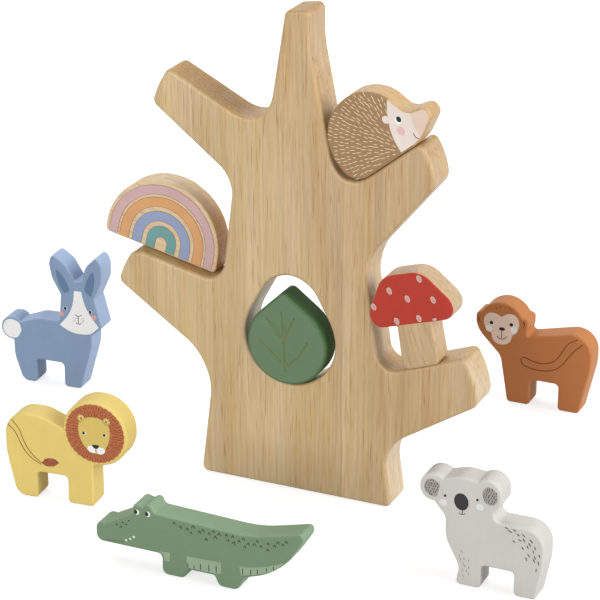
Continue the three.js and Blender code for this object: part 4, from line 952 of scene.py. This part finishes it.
ink_area(film, [
    (-10.2, 60.2, 2), (-8.4, 64.2, 3), (-4.2, 64.4, 4), (-1, 60.8, 4), (-1.2, 55, 3), (-6, 52.8, 3.5),
    (-9, 55.6, 1.5),
])
print_koala(film, "ear_patches", (164, 158, 150), 0, 0.3)
film = bmesh.new()
ink_dabs(film, [(-33, 49.6), (-11.2, 51)], 2.3, 2)
print_koala(film, "pale_cheeks", (224, 224, 222), 0, 0.5)
film = bmesh.new()
ink_dab(film, -22.2, 52.1, 4.3, 5.2, 8)
ink_dabs(film, [(-31.9, 54), (-12.8, 55.2)], 0.8, 0.8)
ink_line(film, [(-21.7, 47.2, 0), (-21.5, 44.8, 0)], 0.35)
ink_line(film, [(-23.2, 45.2, 0), (-22.3, 44.3, 0.8), (-21.5, 44.9, 0)], 0.3)
ink_line(film, [(-21.5, 44.9, 0), (-20.5, 44.5, 0.8), (-19.8, 45.6, 0)], 0.3)
print_koala(film, "nose_eyes_and_mouth", (52, 50, 52), 0)
film = bmesh.new()
RUMP_DASHES = [
    (4.8, 41.5), (6.8, 39.9), (9.5, 41), (11.7, 38.7), (14.8, 39), (9.3, 34.1), (12.7, 35.6), (15.1, 36.1),
    (19.3, 36.4), (18.5, 34.1), (14.5, 31), (17.4, 32.3), (21.7, 32.4), (20.8, 30.1), (24.3, 28.3),
    (18.1, 27.3), (21.8, 26.7), (16.8, 24.8), (21.2, 24.8), (23.9, 23.7), (22.8, 19.1),
]
dash_jitter = Random(11)
# The dashes on the rump lie along its round
for x, z in RUMP_DASHES:
    lie = -26 - 2.9 * max(x - 9, 0) - 1.4 * max(33 - z, 0)
    ink_dab(film, x, z, dash_jitter.uniform(1, 1.4), 0.28, lie + dash_jitter.uniform(-12, 12))
EAR_MIDDLES = [(-40.2, 57.6), (-5.4, 58.8)]
EAR_HALF_WIDTH, EAR_HALF_HEIGHT = 4.3, 4.9
EAR_DASH_ROWS = 6
for ear_x, ear_z in EAR_MIDDLES:
    for row in range(EAR_DASH_ROWS):
        for step in range(EAR_DASH_ROWS):
            x = ear_x - 4 + 1.5 * step + 0.7 * (row % 2) + dash_jitter.uniform(-0.3, 0.3)
            z = ear_z - 4.2 + 1.65 * row + dash_jitter.uniform(-0.3, 0.3)
            if ((x - ear_x) / EAR_HALF_WIDTH) ** 2 + ((z - ear_z) / EAR_HALF_HEIGHT) ** 2 < 1:
                ink_dab(film, x, z, 0.22, dash_jitter.uniform(0.6, 0.95), dash_jitter.uniform(-50, 20))
print_koala(film, "dark_dashes", (50, 47, 48), 1)
film = bmesh.new()
LEG_DASHES = [
    (-22.6, 18.2), (-21.4, 21.3), (-21.8, 16.2), (-19.7, 16.9), (-17.1, 16.3), (-20.2, 13.7), (-19.1, 12.5),
    (-16.8, 11.9), (-20.3, 9.6), (-18, 9.7), (-16.8, 7.9), (-19.9, 5.9),
]
for x, z in LEG_DASHES:
    ink_dab(film, x, z, 0.24, 1, dash_jitter.uniform(-15, 25))
print_koala(film, "grey_dashes", (142, 150, 143), 0)

# Monkey: a standing animal with a round head, sawn from one board and dipped in red-brown paint. The
# heart-shaped face and the outline of the tail are printed on the front.
MONKEY_OUTLINE = [
    # front foot, chest, head and ears
    (-25.1, 0, 2.5), (-30.5, 31.3, 9), (-45.7, 46.5, 15.7), (-47.9, 52.7, 2.4), (-47.9, 59.2, 2.4),
    (-43.8, 60.4, 1.5), (-39.4, 68.7, 15.7), (-20.5, 68.7, 15.7), (-16.1, 60.4, 1.5), (-12.1, 59.2, 2.4),
    (-12.1, 52.7, 2.4),
    # back, rump, rear foot and leg arch
    (-14.3, 47.2, 3), (16.3, 54.6, 14), (31.3, 54.6, 14), (31.3, 33, 40), (23.9, 0, 2.5), (9.6, 0, 2.5),
    (9.6, 18, 3), (-9.6, 18, 3), (-9.6, 0, 2.5),
]
monkey_place = at(98.8, 169, 0)
# The front paint is lighter than the monkey's red-brown: painted highlight that brightens the front against
# the tree's shadow.
monkey_coats = [painted("monkey_side_paint", (190, 124, 72)), painted("monkey_front_paint_with_painted_light", (196, 124, 74))]
soften(figure("monkey", MONKEY_OUTLINE, monkey_place, monkey_coats))
print_monkey = printer("monkey", monkey_place)
# The pale face, the cheeks and the eye whites are printed lighter too: painted highlight against the tree's
# shadow.
film = bmesh.new()
ink_area(film, [
    (-30.3, 59, 1.2), (-35.6, 61.4, 6), (-41.4, 59.4, 5), (-42.6, 53.6, 7), (-40.2, 47.8, 4),
    (-36.7, 46.8, 0.8), (-36.4, 42.6, 4), (-33.4, 39.9, 5), (-28.4, 39.6, 6), (-23.8, 42, 5),
    (-22.6, 47.2, 0.8), (-19.6, 49.2, 4), (-17.8, 55.8, 7), (-19.6, 61, 5), (-25.2, 62.4, 6),
])
print_monkey(film, "heart_face", (246, 217, 201), 0)
film = bmesh.new()
ink_dabs(film, [(-36.7, 53.9), (-23.1, 54.6)], 1.6, 1.6)
ink_dabs(film, [(-38.6, 49.7), (-21.6, 50.9)], 2.3, 2.3)
print_monkey(film, "cheeks_and_eye_whites", (247, 246, 241), 1, 0.3)
film = bmesh.new()
ink_dabs(film, [(-37, 53.9), (-23.4, 54.6)], 1.3, 1.3)
ink_dab(film, -29.7, 50.6, 2, 1.15)
ink_line(film, [(-29.7, 49.8, 0), (-29.6, 44, 0)], 0.3)
ink_line(film, [(-32.8, 45.2, 0), (-31, 43.6, 3), (-28, 43.8, 3), (-26.3, 46.2, 0)], 0.4)
print_monkey(film, "eyes_nose_and_smile", (58, 40, 36), 2)
film = bmesh.new()
ink_line(film, [
    (21.6, 52.2, 0), (14.9, 48.2, 10), (11.3, 41.5, 30), (7.7, 35, 16), (1.3, 31.4, 16), (-6.5, 31.1, 20),
    (-13.1, 33.8, 6), (-16.8, 32.9, 2.4), (-15.4, 27.9, 4), (-6.3, 25.6, 20), (3.5, 26.4, 16),
    (11.1, 30.4, 16), (17.2, 40.6, 40), (25.2, 48.8, 0),
], 0.42)
ink_line(film, [(-46, 56.6, 0), (-46, 54.4, 1.5), (-44.8, 52.9, 0)], 0.5)
ink_line(film, [(-15, 57.9, 0), (-14.1, 55.9, 1.5), (-15, 54, 0)], 0.4)
FRINGE_HAIRS = [
    # x, z and the way the hair lies
    (-34.1, 64.6, -70), (-31.2, 65.7, -80), (-27.6, 66, -100), (-25.3, 65.6, -110), (-23.7, 65, -120),
]
for x, z, lie in FRINGE_HAIRS:
    ink_dab(film, x, z, 0.7, 0.16, lie)
print_monkey(film, "tail_line", (104, 56, 24), 0)

# Studio: a pale paper floor under soft light from the right, the front and behind, with a white
# surround. The camera sees the floor as white paper with a faint shadow; what it throws back at the
# pieces is dimmer.
FLOOR_SIZE = 6
FLOOR_DROP = 0.2
FLOOR_BOUNCE = 0.45
FLOOR_SHADE = 0.5
FLOOR_GLOW = 0.7
SURROUND_LIGHT = 0.2
floor_mesh = bpy.data.meshes.new("floor")
floor_blank = bmesh.new()
bmesh.ops.create_grid(
    floor_blank, x_segments=1, y_segments=1, size=FLOOR_SIZE, matrix=at(0, 0, -FLOOR_DROP),
)
floor_blank.to_mesh(floor_mesh)
floor_blank.free()
floor = bpy.data.objects.new("floor", floor_mesh)
bpy.context.scene.collection.objects.link(floor)
floor_paper = bpy.data.materials.new("floor_paper")
floor_paper.use_nodes = True
paper = floor_paper.node_tree
floor_shader = paper.nodes["Principled BSDF"]
floor_shader.inputs["Roughness"].default_value = 0.9
floor_shader.inputs["Specular IOR Level"].default_value = 0
floor_shader.inputs["Emission Color"].default_value = (1, 1, 1, 1)


def seen_directly(tree):
    """1 where the camera, a reflection or glass sees a surface, and 0 where it only lights other pieces."""
    rays = node(tree, "LightPath")
    seen = maths(tree, "MAXIMUM", rays.outputs["Is Camera Ray"], rays.outputs["Is Glossy Ray"])
    return maths(tree, "MAXIMUM", seen, rays.outputs["Is Transmission Ray"])


def grey(value):
    """A grey for a shader, from black at 0 to white at 1."""
    return (value, value, value, 1)


floor_seen = seen_directly(paper)
floor_tone = blend(paper, floor_seen, grey(FLOOR_BOUNCE), grey(FLOOR_SHADE))
paper.links.new(floor_tone, floor_shader.inputs["Base Color"])
floor_glow = maths(paper, "MULTIPLY", floor_seen, FLOOR_GLOW)
paper.links.new(floor_glow, floor_shader.inputs["Emission Strength"])
floor.data.materials.append(floor_paper)

world = bpy.data.worlds.new("white_surround")
bpy.context.scene.world = world
world.use_nodes = True
sky = world.node_tree
sky_light = sky.nodes["Background"]
sky_light.inputs["Color"].default_value = (1, 1, 1, 1)
sky_strength = ramp(sky, seen_directly(sky), 0, 1, SURROUND_LIGHT, 1)
sky.links.new(sky_strength, sky_light.inputs["Strength"])


def wide_lamp(name, towards, spread, power):
    """A broad, even studio light from a direction; its spread in degrees softens the shadows."""
    lamp = bpy.data.lights.new(name, "SUN")
    lamp.angle = radians(spread)
    lamp.energy = power
    stand = bpy.data.objects.new(name, lamp)
    stand.rotation_euler = Vector(towards).to_track_quat("Z", "Y").to_euler()
    bpy.context.scene.collection.objects.link(stand)


wide_lamp("key_light", (1, 0.02, 0.5), 45, 2.5)
wide_lamp("front_light", (-0.05, -1, 0.25), 50, 2.2)
wide_lamp("top_light", (-0.4, 0.45, 0.8), 50, 1.33)

CAMERA_PLACE = Vector((0.5608, -1.2501, 0.6834))
CAMERA_AIM = Vector((0.0036, -0.012, 0.1247))
lens = bpy.data.cameras.new("camera")
lens.lens = 150
lens.sensor_width = 36
camera = bpy.data.objects.new("camera", lens)
camera.location = CAMERA_PLACE
camera.rotation_euler = (CAMERA_AIM - CAMERA_PLACE).to_track_quat("-Z", "Y").to_euler()
bpy.context.scene.collection.objects.link(camera)
bpy.context.scene.camera = camera
bpy.context.scene.view_settings.view_transform = "Standard"
